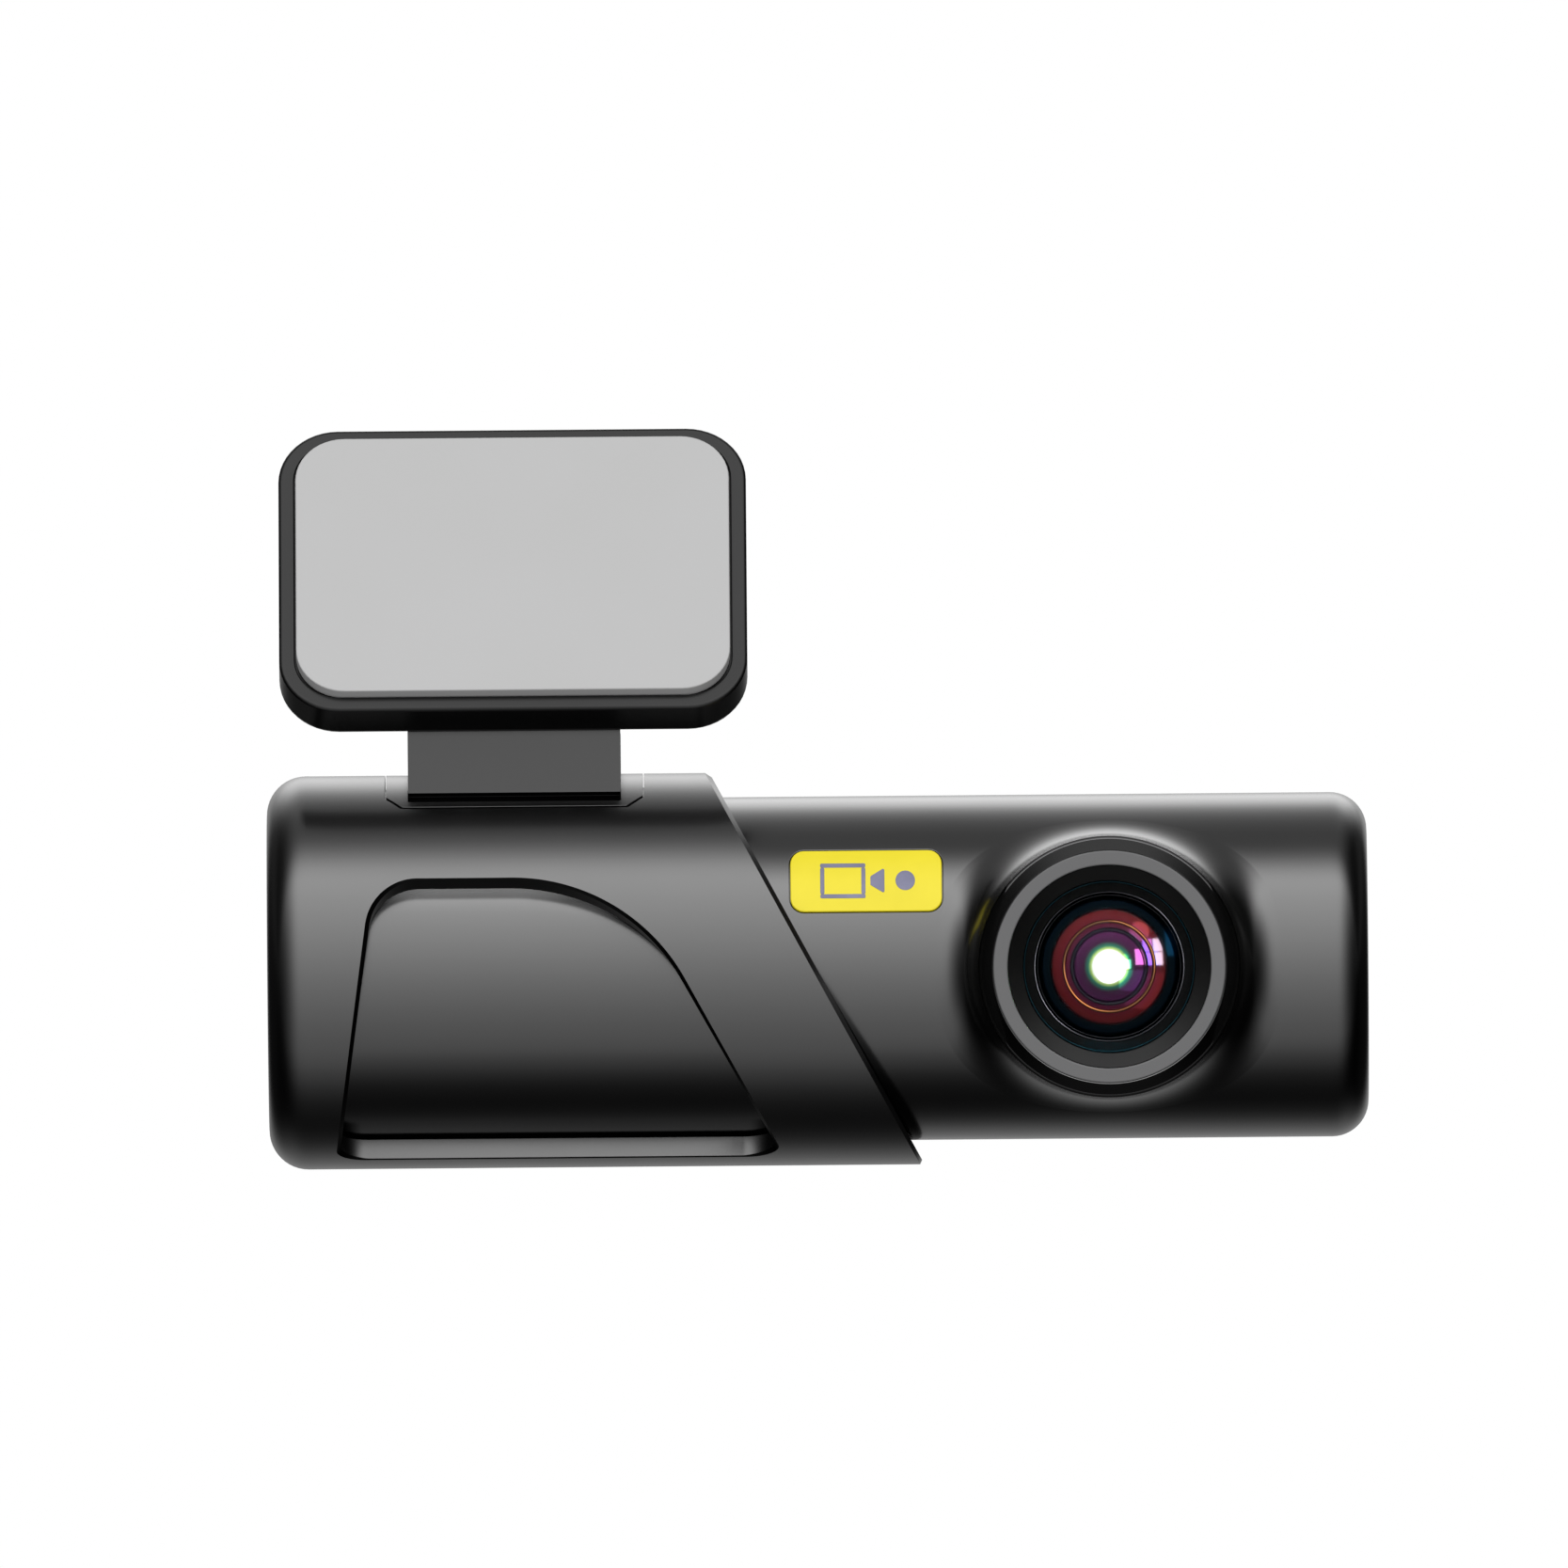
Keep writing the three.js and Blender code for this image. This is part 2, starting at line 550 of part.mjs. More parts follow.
function lensParts() {
  const hoodFront = BOSS_FRONT + GAP;
  return [
    lensTurned('trim_ring', [
      [BOSS_FRONT, BORE_R], [BOSS_FRONT, TRIM_R], [BOSS_FRONT + 1.2, TRIM_R], [BOSS_FRONT + 1.2, BORE_R],
      [BOSS_FRONT, BORE_R],
    ], TRIM_GREY, ROUND),
    lensTurned('lens_hood', [
      [hoodFront, 7.7], [hoodFront, 8.0], [-13.9, 8.0], [-13.9, 6.9], [-14.3, 6.9], [-14.5, 7.1],
      [hoodFront, 7.7],
    ], DEEP_BLACK),
    lensTurned('retaining_ring', [
      [-13.6, 6.9], [-13.6, 7.9], [-12.9, 7.9], [-12.9, 6.7], [-13.4, 6.7], [-13.6, 6.9],
    ], DEEP_BLACK),
    lensTurned('lens_tube', [
      [-12.6, 7.35], [-12.6, 7.9], [-8.5, 7.9], [-8.5, 6.0], [0.5, 6.0], [0.5, 3.8], [-3.2, 3.8],
      [-3.2, 5.3], [-9.6, 5.3], [-9.6, 7.35], [-12.6, 7.35],
    ], DEEP_BLACK),
    lensElement('front_element', [-12.4, -9.9], [-1.9, -1.3], 7.05),
    lensElement('second_element', [-8.4, -7.2], [0.5, -0.4], 5.0),
    lensTurned('aperture_disc', [
      [-6.6, 1.6], [-6.6, 5.0], [-6.3, 5.0], [-6.3, 1.6], [-6.6, 1.6],
    ], DEEP_BLACK),
    lensElement('third_element', [-5.2, -4.3], [-0.7, 0.7], 5.0),
    lensElement('rear_element', [-2.2, -1.2], [-0.6, 0.6], 3.5),
    lensTurned('lens_seal', [
      [-8.2, 6.3], [-8.2, 8.0], [-7.1, 8.0], [-7.1, 6.3], [-8.2, 6.3],
    ], RUBBER),
  ];
}

function squareAtLens(half, [front, back]) {
  return block({ x: [LENS_X - half, LENS_X + half], y: [front, back], z: [-half, half] });
}

const HOLDER_SCREWS = [{ x: LENS_X - 5.0, z: 6.7 }, { x: LENS_X + 5.0, z: -6.7 }];

function lensHolder() {
  const base = block({ x: [LENS_X - 6.5, LENS_X + 6.5], y: [-0.5, 3.2], z: [-8, 8] });
  const collar = rod('y', [-6.8, 0], 7.6, AT_LENS, MEDIUM);
  const bore = rod('y', [-8, 0.8], 6.3, AT_LENS, MEDIUM);
  const screwHoles = HOLDER_SCREWS.map((spot) => rod('y', [0, 5], 0.9, spot, 12));
  return piece('lens_holder', cut(
    join(base, collar), bore, squareAtLens(4.1, [0.7, 1.8]), squareAtLens(5.3, [1.7, 4]), ...screwHoles,
  ), DEEP_BLACK);
}

function sensorParts() {
  const sensorBoard = cut(
    block(SENSOR_BOARD),
    ...HOLDER_SCREWS.map((spot) => rod('y', [2, 6], 0.9, spot, 12)),
    ...UPRIGHTS_X.map((x) => rod('y', [2, 6], 0.9, { x, z: 6.5 }, 12)));
  const small = { head: 1.2, shank: 0.6 };
  return [
    lensHolder(),
    piece('ir_filter', squareAtLens(3.8, [1.1, 1.5]), FILTER_GLASS),
    piece('image_sensor', squareAtLens(5.0, [2.0, 3.2]), CHIP),
    piece('sensor_board', sensorBoard, BOARD_GREEN),
    ...HOLDER_SCREWS.map((spot, i) => screw(`lens_holder_screw_${i + 1}`, 'y', spot, 5.6, 0.4, small)),
    ...UPRIGHTS_X.map((x, i) =>
      screw(`sensor_board_screw_${i + 1}`, 'y', { x, z: 6.5 }, 2.4, 5.8, small)),
  ];
}

// ---------------------------------------------------------------- inner frame and electronics

function innerFrame() {
  const floor = block({ x: [-26, 34], y: [-5.2, 5.2], z: [-10.9, -10.1] });
  const posts = POSTS_X.flatMap((x) => [-POST_Y, POST_Y].map((y) => block({
    x: [x - 1.2, x + 1.2], y: [y - 1.2, y + 1.2], z: [-10.5, MAIN_BOARD.z[0] - GAP],
  })));
  const uprights = UPRIGHTS_X.map((x) => block({
    x: [x - 1.3, x + 1.3], y: [SENSOR_BOARD.y[1] + GAP, 6.4], z: [-10.4, 8],
  }));
  const screwHoles = [
    ...POSTS_X.flatMap((x) => [-POST_Y, POST_Y].map((y) => rod('z', [-6, 0], 0.9, { x, y }, 12))),
    ...UPRIGHTS_X.flatMap((x) => [
      rod('y', [4, 7], 0.9, { x, z: 6.5 }, 12), rod('y', [4, 7], 0.9, { x, z: -3.5 }, 12),
    ]),
  ];
  return piece('inner_frame', cut(join(floor, ...posts, ...uprights), ...screwHoles), SOFT_BLACK);
}

function mainBoardParts() {
  const spots = POSTS_X.flatMap((x) => [-POST_Y, POST_Y].map((y) => ({ x, y })));
  const board = cut(block(MAIN_BOARD), ...spots.map((spot) => rod('z', [-2, 2], 0.9, spot, 12)));
  const onTop = MAIN_BOARD.z[1] + GAP;
  return [
    piece('main_board', board, BOARD_GREEN),
    ...spots.map((spot, i) =>
      screw(`main_board_screw_${i + 1}`, 'z', spot, onTop + 0.8, -5, { head: 1.3, shank: 0.6 })),
    piece('processor', block({ x: [-19, -7], y: [-6, 6], z: [onTop, 1.5] }), CHIP),
    heatSink(),
    piece('memory_chip', block({ x: [-5.4, -0.6], y: [-4.5, 4.5], z: [onTop, 1.3] }), CHIP),
    ...[-4.4, 4.4].map((y, i) => piece(
      `supercapacitor_${i + 1}`, rod('x', [-20.5, -2.5], 4.0, { y, z: -5.7 }, 24), ALUMINIUM)),
    piece('wifi_antenna', block({ x: [-6, 10], y: [-3, 3], z: [10.2, 10.7] }), FLEX),
  ];
}

function heatSink() {
  const fins = Array.from({ length: 5 }, (_, i) => {
    const y = -5.6 + i * 2.5;
    return block({ x: [-19, -7], y: [y, y + 1.2], z: [2.5, 7] });
  });
  return piece('heat_sink', join(block({ x: [-19, -7], y: [-6, 6], z: [1.8, 3] }), ...fins), ALUMINIUM);
}

function usbSocket() {
  const shellOutline = roundedRectangle(USB.width, USB.height, 1.5, 0, USB.z);
  const hollowOutline = roundedRectangle(USB.width - 0.6, USB.height - 0.6, 1.2, 0, USB.z);
  const shell = extruded(shellOutline, 'x', [USB.left, USB.right]);
  const hollow = extruded(hollowOutline, 'x', [USB.left - 1, USB.right - 1]);
  const tongue = block({ x: [USB.left + 0.8, USB.right], y: [-3.3, 3.3], z: [USB.z - 0.35, USB.z + 0.35] });
  return piece('usb_socket', join(cut(shell, hollow), tongue), STEEL);
}

function cardSocket() {
  const [low, high] = [CARD.z - 1.1, CARD.z + 1.1];
  const cage = block({ x: [-40.8, -26.2], y: [-7.2, 7.2], z: [low, high] });
  const halfSlot = CARD.width / 2 + GAP;
  const slot = block({ x: [-42, -28.5], y: [-halfSlot, halfSlot], z: [CARD.z - 0.8, CARD.z + 0.8] });
  return piece('card_socket', cut(cage, slot), STEEL);
}

function memoryCard() {
  const corner = 0.8;
  const [near, far] = [CARD.left, CARD.left + CARD.length];
  const half = CARD.width / 2;
  const outline = roundedOutline([
    [near, -half, corner], [far, -half, corner], [far, half - 1.3, 0.3], [near + 9, half - 1.3, 0.3],
    [near + 7.7, half, 0.3], [near, half, corner],
  ]);
  const card = extruded(outline, 'z', [CARD.z - CARD.thick / 2, CARD.z + CARD.thick / 2]);
  return piece('memory_card', card, CHIP);
}

function flexParts() {
  const width = [-7, -1.6];
  const connector = block({ x: [6, 10], y: [2.3, 3.9], z: [width[0], MAIN_BOARD.z[0] - GAP] });
  const [start, end] = [10.3, 17];
  const steps = 12;
  const wave = Array.from({ length: steps + 1 }, (_, i) => {
    const t = i / steps;
    return [start + (end - start) * t, 3.1 - 0.5 * Math.sin(Math.PI * Math.min(1, t * 1.8)) ** 2];
  });
  const outline = new THREE.Shape([
    ...wave.map(([x, y]) => new THREE.Vector2(x, y - 0.1)),
    ...wave.reverse().map(([x, y]) => new THREE.Vector2(x, y + 0.1)),
  ]);
  return [
    piece('flex_connector', connector, CLEAR),
    piece('flex_ribbon', extruded(outline, 'z', width), FLEX),
  ];
}

function buttonBoardParts() {
  const on = BUTTON_BOARD.y[1] + GAP;
  const board = cut(block(BUTTON_BOARD), ...UPRIGHTS_X.map((x) => rod('y', [5, 9], 0.9, { x, z: -3.5 }, 12)));
  const can = block({ x: [BUTTON.x - 2.5, BUTTON.x + 2.5], y: [on, 9.2], z: [-2.5, 2.5] });
  const plunger = rod('y', [9, 9.9], 1.2, { x: BUTTON.x });
  return [
    piece('button_board', board, BOARD_GREEN),
    ...UPRIGHTS_X.map((x, i) =>
      screw(`button_board_screw_${i + 1}`, 'y', { x, z: -3.5 }, 8.7, 5.4, { shank: 0.6 })),
    piece('tact_switch', join(can, plunger), STEEL),
    piece('status_led', block({ x: [29.2, 30.8], y: [on, on + 0.7], z: [-0.5, 0.5] }), CLEAR),
    piece('status_light_pipe', rod('y', [on + 1, BARREL_R - 0.05], 0.9, { x: 30 }, 12), CLEAR),
    piece('microphone', block({ x: [16.4, 19.6], y: [on, on + 1.1], z: [-1.2, 1.2] }), STEEL),
  ];
}

function speaker() {
  const cone = turned([
    [7.6, 0], [7.6, 2.4], [8.4, 2.4], [8.4, SPEAKER.r], [10.6, SPEAKER.r], [10.6, 3.6], [9.6, 1.2], [9.9, 0],
  ], 'y', { x: SPEAKER.x }, MEDIUM);
  return piece('speaker', cone, CHIP);
}

// ---------------------------------------------------------------- assembly

function cameraGroup() {
  const group = new THREE.Group();
  group.add(
    barrelShell(), frictionRing(), portPanel(), ...panelScrews(), badge(), lockButton(),
    ...lensParts(), ...sensorParts(), innerFrame(), ...mainBoardParts(), usbSocket(), cardSocket(),
    memoryCard(), ...flexParts(), ...buttonBoardParts(), speaker());
  return group;
}

const dashCamera = new THREE.Group();
dashCamera.add(plateGroup(), mountNeck(), cradleSleeve(), cameraGroup());
dashCamera.position.set(-PAD_CENTRE.x, -PAD_CENTRE.y, -PAD_CENTRE.z);

export default dashCamera;
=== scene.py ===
"""A cylindrical windscreen dash camera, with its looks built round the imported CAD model.

Shapes are worked out in millimetres in the barrel frame: X is the barrel's own axis, the lens looks along
-Y and +Z is up. An angle on the barrel is measured up from its front. to_row() turns such a point into the
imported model's own frame, in metres.
"""
import json
import math

import bmesh
import bpy
import numpy as np
from mathutils import Matrix, Vector
from mathutils.geometry import delaunay_2d_cdt


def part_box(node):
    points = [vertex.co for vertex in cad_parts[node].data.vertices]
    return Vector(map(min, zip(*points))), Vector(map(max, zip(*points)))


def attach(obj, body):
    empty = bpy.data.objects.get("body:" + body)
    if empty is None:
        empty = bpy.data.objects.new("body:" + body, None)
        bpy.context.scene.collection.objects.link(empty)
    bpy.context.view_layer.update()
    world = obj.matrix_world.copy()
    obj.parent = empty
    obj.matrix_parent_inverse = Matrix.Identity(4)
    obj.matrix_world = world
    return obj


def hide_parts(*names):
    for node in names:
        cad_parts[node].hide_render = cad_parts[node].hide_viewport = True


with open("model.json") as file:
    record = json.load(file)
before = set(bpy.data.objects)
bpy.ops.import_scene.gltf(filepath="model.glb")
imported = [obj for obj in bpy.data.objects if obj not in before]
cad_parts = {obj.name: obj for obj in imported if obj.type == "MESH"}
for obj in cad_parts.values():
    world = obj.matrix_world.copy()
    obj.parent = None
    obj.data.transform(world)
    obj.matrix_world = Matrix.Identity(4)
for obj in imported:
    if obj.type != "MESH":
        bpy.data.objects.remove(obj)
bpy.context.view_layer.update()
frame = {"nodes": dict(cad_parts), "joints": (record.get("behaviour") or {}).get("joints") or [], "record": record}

# ---------------- sizes from the frame

MM = 0.001
JOINTS = {joint["name"]: joint for joint in frame["joints"]}
AXIS = np.array(JOINTS["barrel_rotation"]["pos_m"]) / MM
HINGE = np.array(JOINTS["mount_tilt"]["pos_m"]) / MM - AXIS


def extent(node):
    """The lowest and highest corners of a CAD node, in mm in the barrel frame."""
    low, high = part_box(node)
    return np.array(low) / MM - AXIS, np.array(high) / MM - AXIS


def centre_x(node):
    low, high = extent(node)
    return (low[0] + high[0]) / 2


sleeve_low, sleeve_high = extent("cradle_sleeve")
barrel_high = extent("barrel_shell")[1]
trim_low, trim_high = extent("trim_ring")
badge_low, badge_high = extent("badge")

GAP = 0.3  # between the sleeve and what it holds
SLEEVE_R = (sleeve_high[2] - sleeve_low[2]) / 2
BARREL_R = barrel_high[2]
SLEEVE_IN_R = BARREL_R + GAP
BARREL_WALL = 1.6
BARREL_IN_R = BARREL_R - BARREL_WALL
LEFT, RIGHT = sleeve_low[0], barrel_high[0]
SLEEVE_FILLET = 3.2
END_FILLET = 3.0
END_WALL = 3.0
MOUTH_R = 9.3  # of the opening in the sleeve's end, and how round its edge is
MOUTH_EDGE = 0.4
FLANGE = 1.6
BARREL_LEFT = LEFT + FLANGE + GAP
CUT_X, CUT_SLOPE = -0.07, -0.539  # the sleeve's oblique edge: x on the axis, and how x changes with height
CUT_CHAMFER = 0.36

LENS_X = centre_x("trim_ring")
TRIM_R = (trim_high[0] - trim_low[0]) / 2
BOSS_R = 10.7
BOSS_FILLET, BOSS_FILLET_MORE = 3.5, 4.5  # at the boss's sides, and how much more above and below it
NOSE_FROM, NOSE_TO = 9.58, 10.45  # radii of the sloping ring at the boss's front
BOSS_FRONT = trim_low[1]
BORE_R = 8.3
BADGE_R = BARREL_R + 0.08
BADGE_CORNER = 1.1
VENT_ANGLES = (34, 44, 54)  # degrees above the middle of the back

TUBE_FACE, TUBE_R = -12.1, 6.1  # the front of the lens tube
HOOD_IN_R, GLASS_R, THIRD_R, REAR_R = 7.1, 7.05, 4.85, 3.2
ELEMENT_BACK = -10.4
LENS_LIGHT_AWAY = 90 * MM
WINDOW_LIGHT_AWAY, WINDOW_LIGHT_SPREAD = 14 * MM, math.radians(120)

MOUNT_X = -AXIS[0]
PLATE_LEAN = math.radians(32)
PLATE_W, PLATE_H, PLATE_T, PLATE_CORNER = 38.3, 27.1, 3.8, 4.9
PAD_W, PAD_H, PAD_T, PAD_CORNER, PAD_PROUD = 35.5, 24.4, 1.1, 4.0, 0.85
EAR_FROM, EAR_TO, EAR_R = 4.3, 7.8, 3.0
KNUCKLE_HALF, KNUCKLE_R = 4.0, 2.9
NECK_HALF_W, NECK_HALF_D = 8.7, 6.5
NECK_FOOT_Z = 14.62
SHELF_DROP, LIP_DROP = 3.44, 2.94  # how far the neck's shelf and its lip lie under the hinge

# corners of the window as seen from the front: x, z, radius, and how far the rounding is squeezed
WINDOW = [(-39.23, -15.31, 2.2, 0.31), (-3.18, -15.31, 2.6, 0.31), (-15.78, 7.6, 16.0), (-36.12, 7.6, 4.2)]
WINDOW_SILL = -13.0  # the window's wall takes the painted-shade black above this height
FOOT_EDGE, FOOT_SHOULDER = math.radians(57), math.radians(62.6)
FOOT_HALF, FOOT_NARROW = 10.5, 9.2
FOOT_DEPTH, FOOT_ROUND = 0.85, 0.03
HOLLOW_FROM, HOLLOW_TO = math.radians(59.8), math.radians(67.0)  # the hollow beside the neck's root: a recess whose walls and floor take a near-unreflecting black as painted shade
HOLLOW_FLOOR = SLEEVE_R - FOOT_DEPTH + 0.2

AROUND = 240  # steps round the barrel
LENS_STEPS = 144  # steps round the lens
ANGLES = np.linspace(-math.pi / 2, 3 * math.pi / 2, AROUND + 1)
PSI = np.linspace(0, 2 * math.pi, LENS_STEPS, endpoint=False)
CORNERS = ((-1, -1), (1, -1), (1, 1), (-1, 1))
GLOSSY, PAINTED_SHADE = 0, 1  # material slots of a piece with two looks: the glossy plastic, and a near-unreflecting black that paints shade on walls and in hollows
MERGE_WITHIN, NO_LENGTH = 3e-7, 1e-7  # in metres, when the patches are sewn together


def to_row(points):
    return (np.asarray(points, float) + AXIS) * MM


# ---------------- building a surface from patches

def unit(vectors):
    return vectors / np.maximum(np.linalg.norm(vectors, axis=-1, keepdims=True), 1e-12)


class Skin:
    """A closed mesh put together from patches. Each patch brings its own normals, so that patches which
    meet in a tangent shade as one surface and the others keep a crisp edge. Either sign of a normal does."""

    def __init__(self):
        self.points, self.normals, self.faces, self.looks = [], [], [], []
        self.look = GLOSSY  # the material slot that new patches take

    def patch(self, points, normals, faces):
        base = len(self.points)
        self.points.extend(np.asarray(points, float).reshape(-1, 3))
        self.normals.extend(np.asarray(normals, float).reshape(-1, 3))
        self.faces.extend([base + i for i in face] for face in faces)
        self.looks.extend([self.look] * len(faces))

    def grid(self, points, normals=None):
        """Quads between closed rows of points. Without normals they are worked out from the grid itself."""
        points = np.asarray(points, float)
        rows, columns = points.shape[:2]
        if normals is None:
            along = np.gradient(points, axis=0)
            across = np.roll(points, -1, 1) - np.roll(points, 1, 1)
            normals = unit(np.cross(along, across))
        faces = []
        for row in range(rows - 1):
            for column in range(columns):
                a, b = row * columns + column, row * columns + (column + 1) % columns
                faces.append([a, b, b + columns, a + columns])
        self.patch(points, normals, faces)

    def build(self, name, convert=to_row, turned=None):
        mesh = bpy.data.meshes.new(name)
        work = bmesh.new()
        layer = work.loops.layers.float_vector.new("corner_normal")
        verts = [work.verts.new(point) for point in convert(np.array(self.points))]
        for ids, look in zip(self.faces, self.looks):
            face = work.faces.new([verts[i] for i in ids])
            face.material_index = look
            for loop, i in zip(face.loops, ids):
                loop[layer] = self.normals[i]
        bmesh.ops.remove_doubles(work, verts=work.verts, dist=MERGE_WITHIN)
        bmesh.ops.dissolve_degenerate(work, edges=work.edges, dist=NO_LENGTH)
        # along a straight edge on the unrolled cylinder, some slivers with three sides are left open
        gaps = [edge for edge in work.edges if edge.is_boundary]
        for face in bmesh.ops.holes_fill(work, edges=gaps, sides=3)["faces"]:
            face.normal_update()
            for loop in face.loops:
                loop[layer] = face.normal
        bmesh.ops.recalc_face_normals(work, faces=work.faces)
        work.to_mesh(mesh)
        work.free()
        stored = np.zeros(len(mesh.loops) * 3)
        mesh.attributes["corner_normal"].data.foreach_get("vector", stored)
        stored = unit(stored.reshape(-1, 3))
        if turned is not None:
            stored = stored @ turned.T
        mesh.attributes.remove(mesh.attributes["corner_normal"])
        for polygon in mesh.polygons:
            polygon.use_smooth = True
            facing = np.array(polygon.normal)
            for i in polygon.loop_indices:
                if stored[i] @ facing < 0:
                    stored[i] = -stored[i]
        mesh.normals_split_custom_set(stored)
        return linked(name, mesh)


def around(x, angle, r):
    """A point at an angle up from the front on a cylinder of radius r round the barrel's axis."""
    x, angle, r = np.broadcast_arrays(x, angle, r)
    return np.stack([x, -r * np.cos(angle), r * np.sin(angle)], -1)


def radial(angle):
    return around(0.0, angle, 1.0)


def at_lens(y, psi, r):
    """A point at an angle psi round the lens axis, y along the barrel frame's Y."""
    y, psi, r = np.broadcast_arrays(y, psi, r)
    return np.stack([LENS_X + r * np.cos(psi), y, r * np.sin(psi)], -1)


def turn(skin, spans, place, angles):
    """Turns profiles of (station, radius) points round an axis. Each span shades smoothly within itself."""
    for span in spans:
        station, radius = np.array(span, float).T
        keep = np.maximum(radius, 1e-6)
        points = place(station[:, None], angles[None, :], keep[:, None])
        along = np.gradient(np.stack([station, radius], -1), axis=0)
        out = unit(np.stack([-along[:, 1], along[:, 0]], -1))
        shifted = place((station + out[:, 0])[:, None], angles[None, :], (keep + out[:, 1])[:, None])
        skin.grid(points, unit(shifted - points))


def crisp(*points):
    """A span for each straight stretch of a profile."""
    return [[a, b] for a, b in zip(points, points[1:])]


def arc(x, y, radius, start, end, steps=10):
    """Points of an arc, with its angles in degrees."""
    t = np.radians(np.linspace(start, end, steps + 1))
    return list(zip(x + radius * np.cos(t), y + radius * np.sin(t)))


def winding(loop):
    x, y = loop.T
    return np.sum(x * np.roll(y, -1) - np.roll(x, -1) * y) / 2


def away(loop):
    """Unit normals of a closed plane loop, pointing away from what it encloses."""
    tangent = unit(np.roll(loop, -1, 0) - np.roll(loop, 1, 0))
    out = np.stack([tangent[:, 1], -tangent[:, 0]], -1)
    return out if winding(loop) > 0 else -out


def inside(points, loop):
    x, y = points.T
    hits = np.zeros(len(points), bool)
    for (ax, ay), (bx, by) in zip(loop, np.roll(loop, -1, 0)):
        if ay != by:
            hits ^= ((ay > y) != (by > y)) & (x < (bx - ax) * (y - ay) / (by - ay) + ax)
    return hits


def within(points, outer, holes):
    """Which points lie inside outer and outside the holes."""
    good = inside(points, outer)
    for hole in holes:
        good &= ~inside(points, hole)
    return good


def fill(outer, holes, extra, clearance=0.25):
    """Triangles over the area inside outer and outside the holes, with the extra points that are clear."""
    loops = [outer, *holes]
    edge_points = np.vstack(loops)
    extra = extra[within(extra, outer, holes)]
    near = np.array([np.min(np.sum((edge_points - point) ** 2, 1)) for point in extra])
    extra = extra[near > clearance ** 2] if len(extra) else extra
    edges = []
    start = 0
    for loop in loops:
        edges += [(start + i, start + (i + 1) % len(loop)) for i in range(len(loop))]
        start += len(loop)
    verts = [Vector(point) for point in np.vstack([edge_points, extra])]
    flat, _, faces, *_ = delaunay_2d_cdt(verts, edges, [], 1, 1e-7)
    flat = np.array([tuple(point) for point in flat])
    faces = [list(face) for face in faces]
    centres = np.array([flat[face].mean(0) for face in faces])
    return flat, [face for face, good in zip(faces, within(centres, outer, holes)) if good]


# ---------------- outlines

def rounded(corners, step=0.35):
    """Points along an outline with rounded corners, each given as (x, y, radius). A fourth number squeezes
    that corner's rounding along y."""
    points = []
    count = len(corners)
    for i, (x, y, radius, *squeeze) in enumerate(corners):
        scale = np.array([1.0, 1 / squeeze[0] if squeeze else 1.0])
        corner = np.array([x, y]) * scale
        back = unit(np.array(corners[i - 1][:2]) * scale - corner)
        ahead = unit(np.array(corners[(i + 1) % count][:2]) * scale - corner)
        half = math.acos(np.clip(back @ ahead, -1, 1)) / 2
        centre = corner + unit(back + ahead) * radius / math.sin(half)
        start = corner + back * radius / math.tan(half) - centre
        end = corner + ahead * radius / math.tan(half) - centre
        first = math.atan2(start[1], start[0])
        sweep = (math.atan2(end[1], end[0]) - first + math.pi) % (2 * math.pi) - math.pi
        parts = max(6, math.ceil(abs(sweep) * radius / step))
        t = first + sweep * np.linspace(0, 1, parts + 1)
        points.extend((centre + radius * np.stack([np.cos(t), np.sin(t)], -1)) / scale)
    loop = []
    for a, b in zip(points, points[1:] + points[:1]):
        parts = max(1, math.ceil(np.linalg.norm(b - a) / (2 * step)))
        loop.extend(a + (b - a) * k / parts for k in range(parts))
    return np.array(loop)


def rectangle(width, height, radius, x=0.0, y=0.0, step=0.35):
    return rounded([(x + i * width / 2, y + j * height / 2, radius) for i, j in CORNERS], step)


def circle(x, y, radius, steps=48):
    t = np.linspace(0, 2 * math.pi, steps, endpoint=False)
    return np.stack([x + radius * np.cos(t), y + radius * np.sin(t)], -1)


def lifted(loop, r):
    """A loop seen from the front, [x, z], laid on a cylinder of radius r as [x, angle]."""
    return np.stack([loop[:, 0], np.arcsin(loop[:, 1] / r)], -1)


def from_arc(loop, r, angle):
    """A loop drawn flat round a place on the cylinder, [x, mm round], as [x, angle]."""
    return np.stack([loop[:, 0], angle + loop[:, 1] / r], -1)


# ---------------- wrapped surfaces

def metric(loop, r):
    return loop * [1, r]


def rim(skin, edge, into, r_top, r_floor, radius, steps=5, wall_look=GLOSSY):
    """A rounded edge and the wall under it. edge(r) gives the edge as [x, angle] at radius r, and into is
    the unit direction into the material, in mm along x and round. Returns where the top surface begins."""
    rows, normals = [], []
    for k in range(steps + 1):
        phi = math.pi / 2 * k / steps
        r = r_top - radius * (1 - math.cos(phi))
        spot = edge(r) + into * radius * (1 - math.sin(phi)) / [1, r]
        side = np.stack([into[:, 0], into[:, 1] * np.sin(spot[:, 1]), into[:, 1] * np.cos(spot[:, 1])], -1)
        rows.append(around(spot[:, 0], spot[:, 1], r))
        normals.append(math.cos(phi) * radial(spot[:, 1]) - math.sin(phi) * side)
        if k == 0:
            top = spot
    skin.grid(rows, normals)
    wall_r = np.linspace(r_top - radius, r_floor, 3)
    walls = [edge(r) for r in wall_r]
    skin.look = wall_look
    skin.grid([around(*spot.T, r) for spot, r in zip(walls, wall_r)])
    skin.look = GLOSSY
    return top


def chamfer(skin, edge, into, r_top, r_floor, width, cut_look=GLOSSY):
    """An edge cut at 45 degrees and the wall under it, in the same terms as rim(). width may differ by
    point."""
    width = np.broadcast_to(width, len(into))
    top = edge(r_top) + into * width[:, None] / [1, r_top]
    skin.look = cut_look
    skin.grid([around(*top.T, r_top), around(*edge(r_top - width).T, r_top - width)])
    skin.look = GLOSSY
    wall_r = [r_top - width, (r_top - width + r_floor) / 2, np.full(len(into), r_floor)]
    skin.grid([around(*edge(r).T, r) for r in wall_r])
    return top


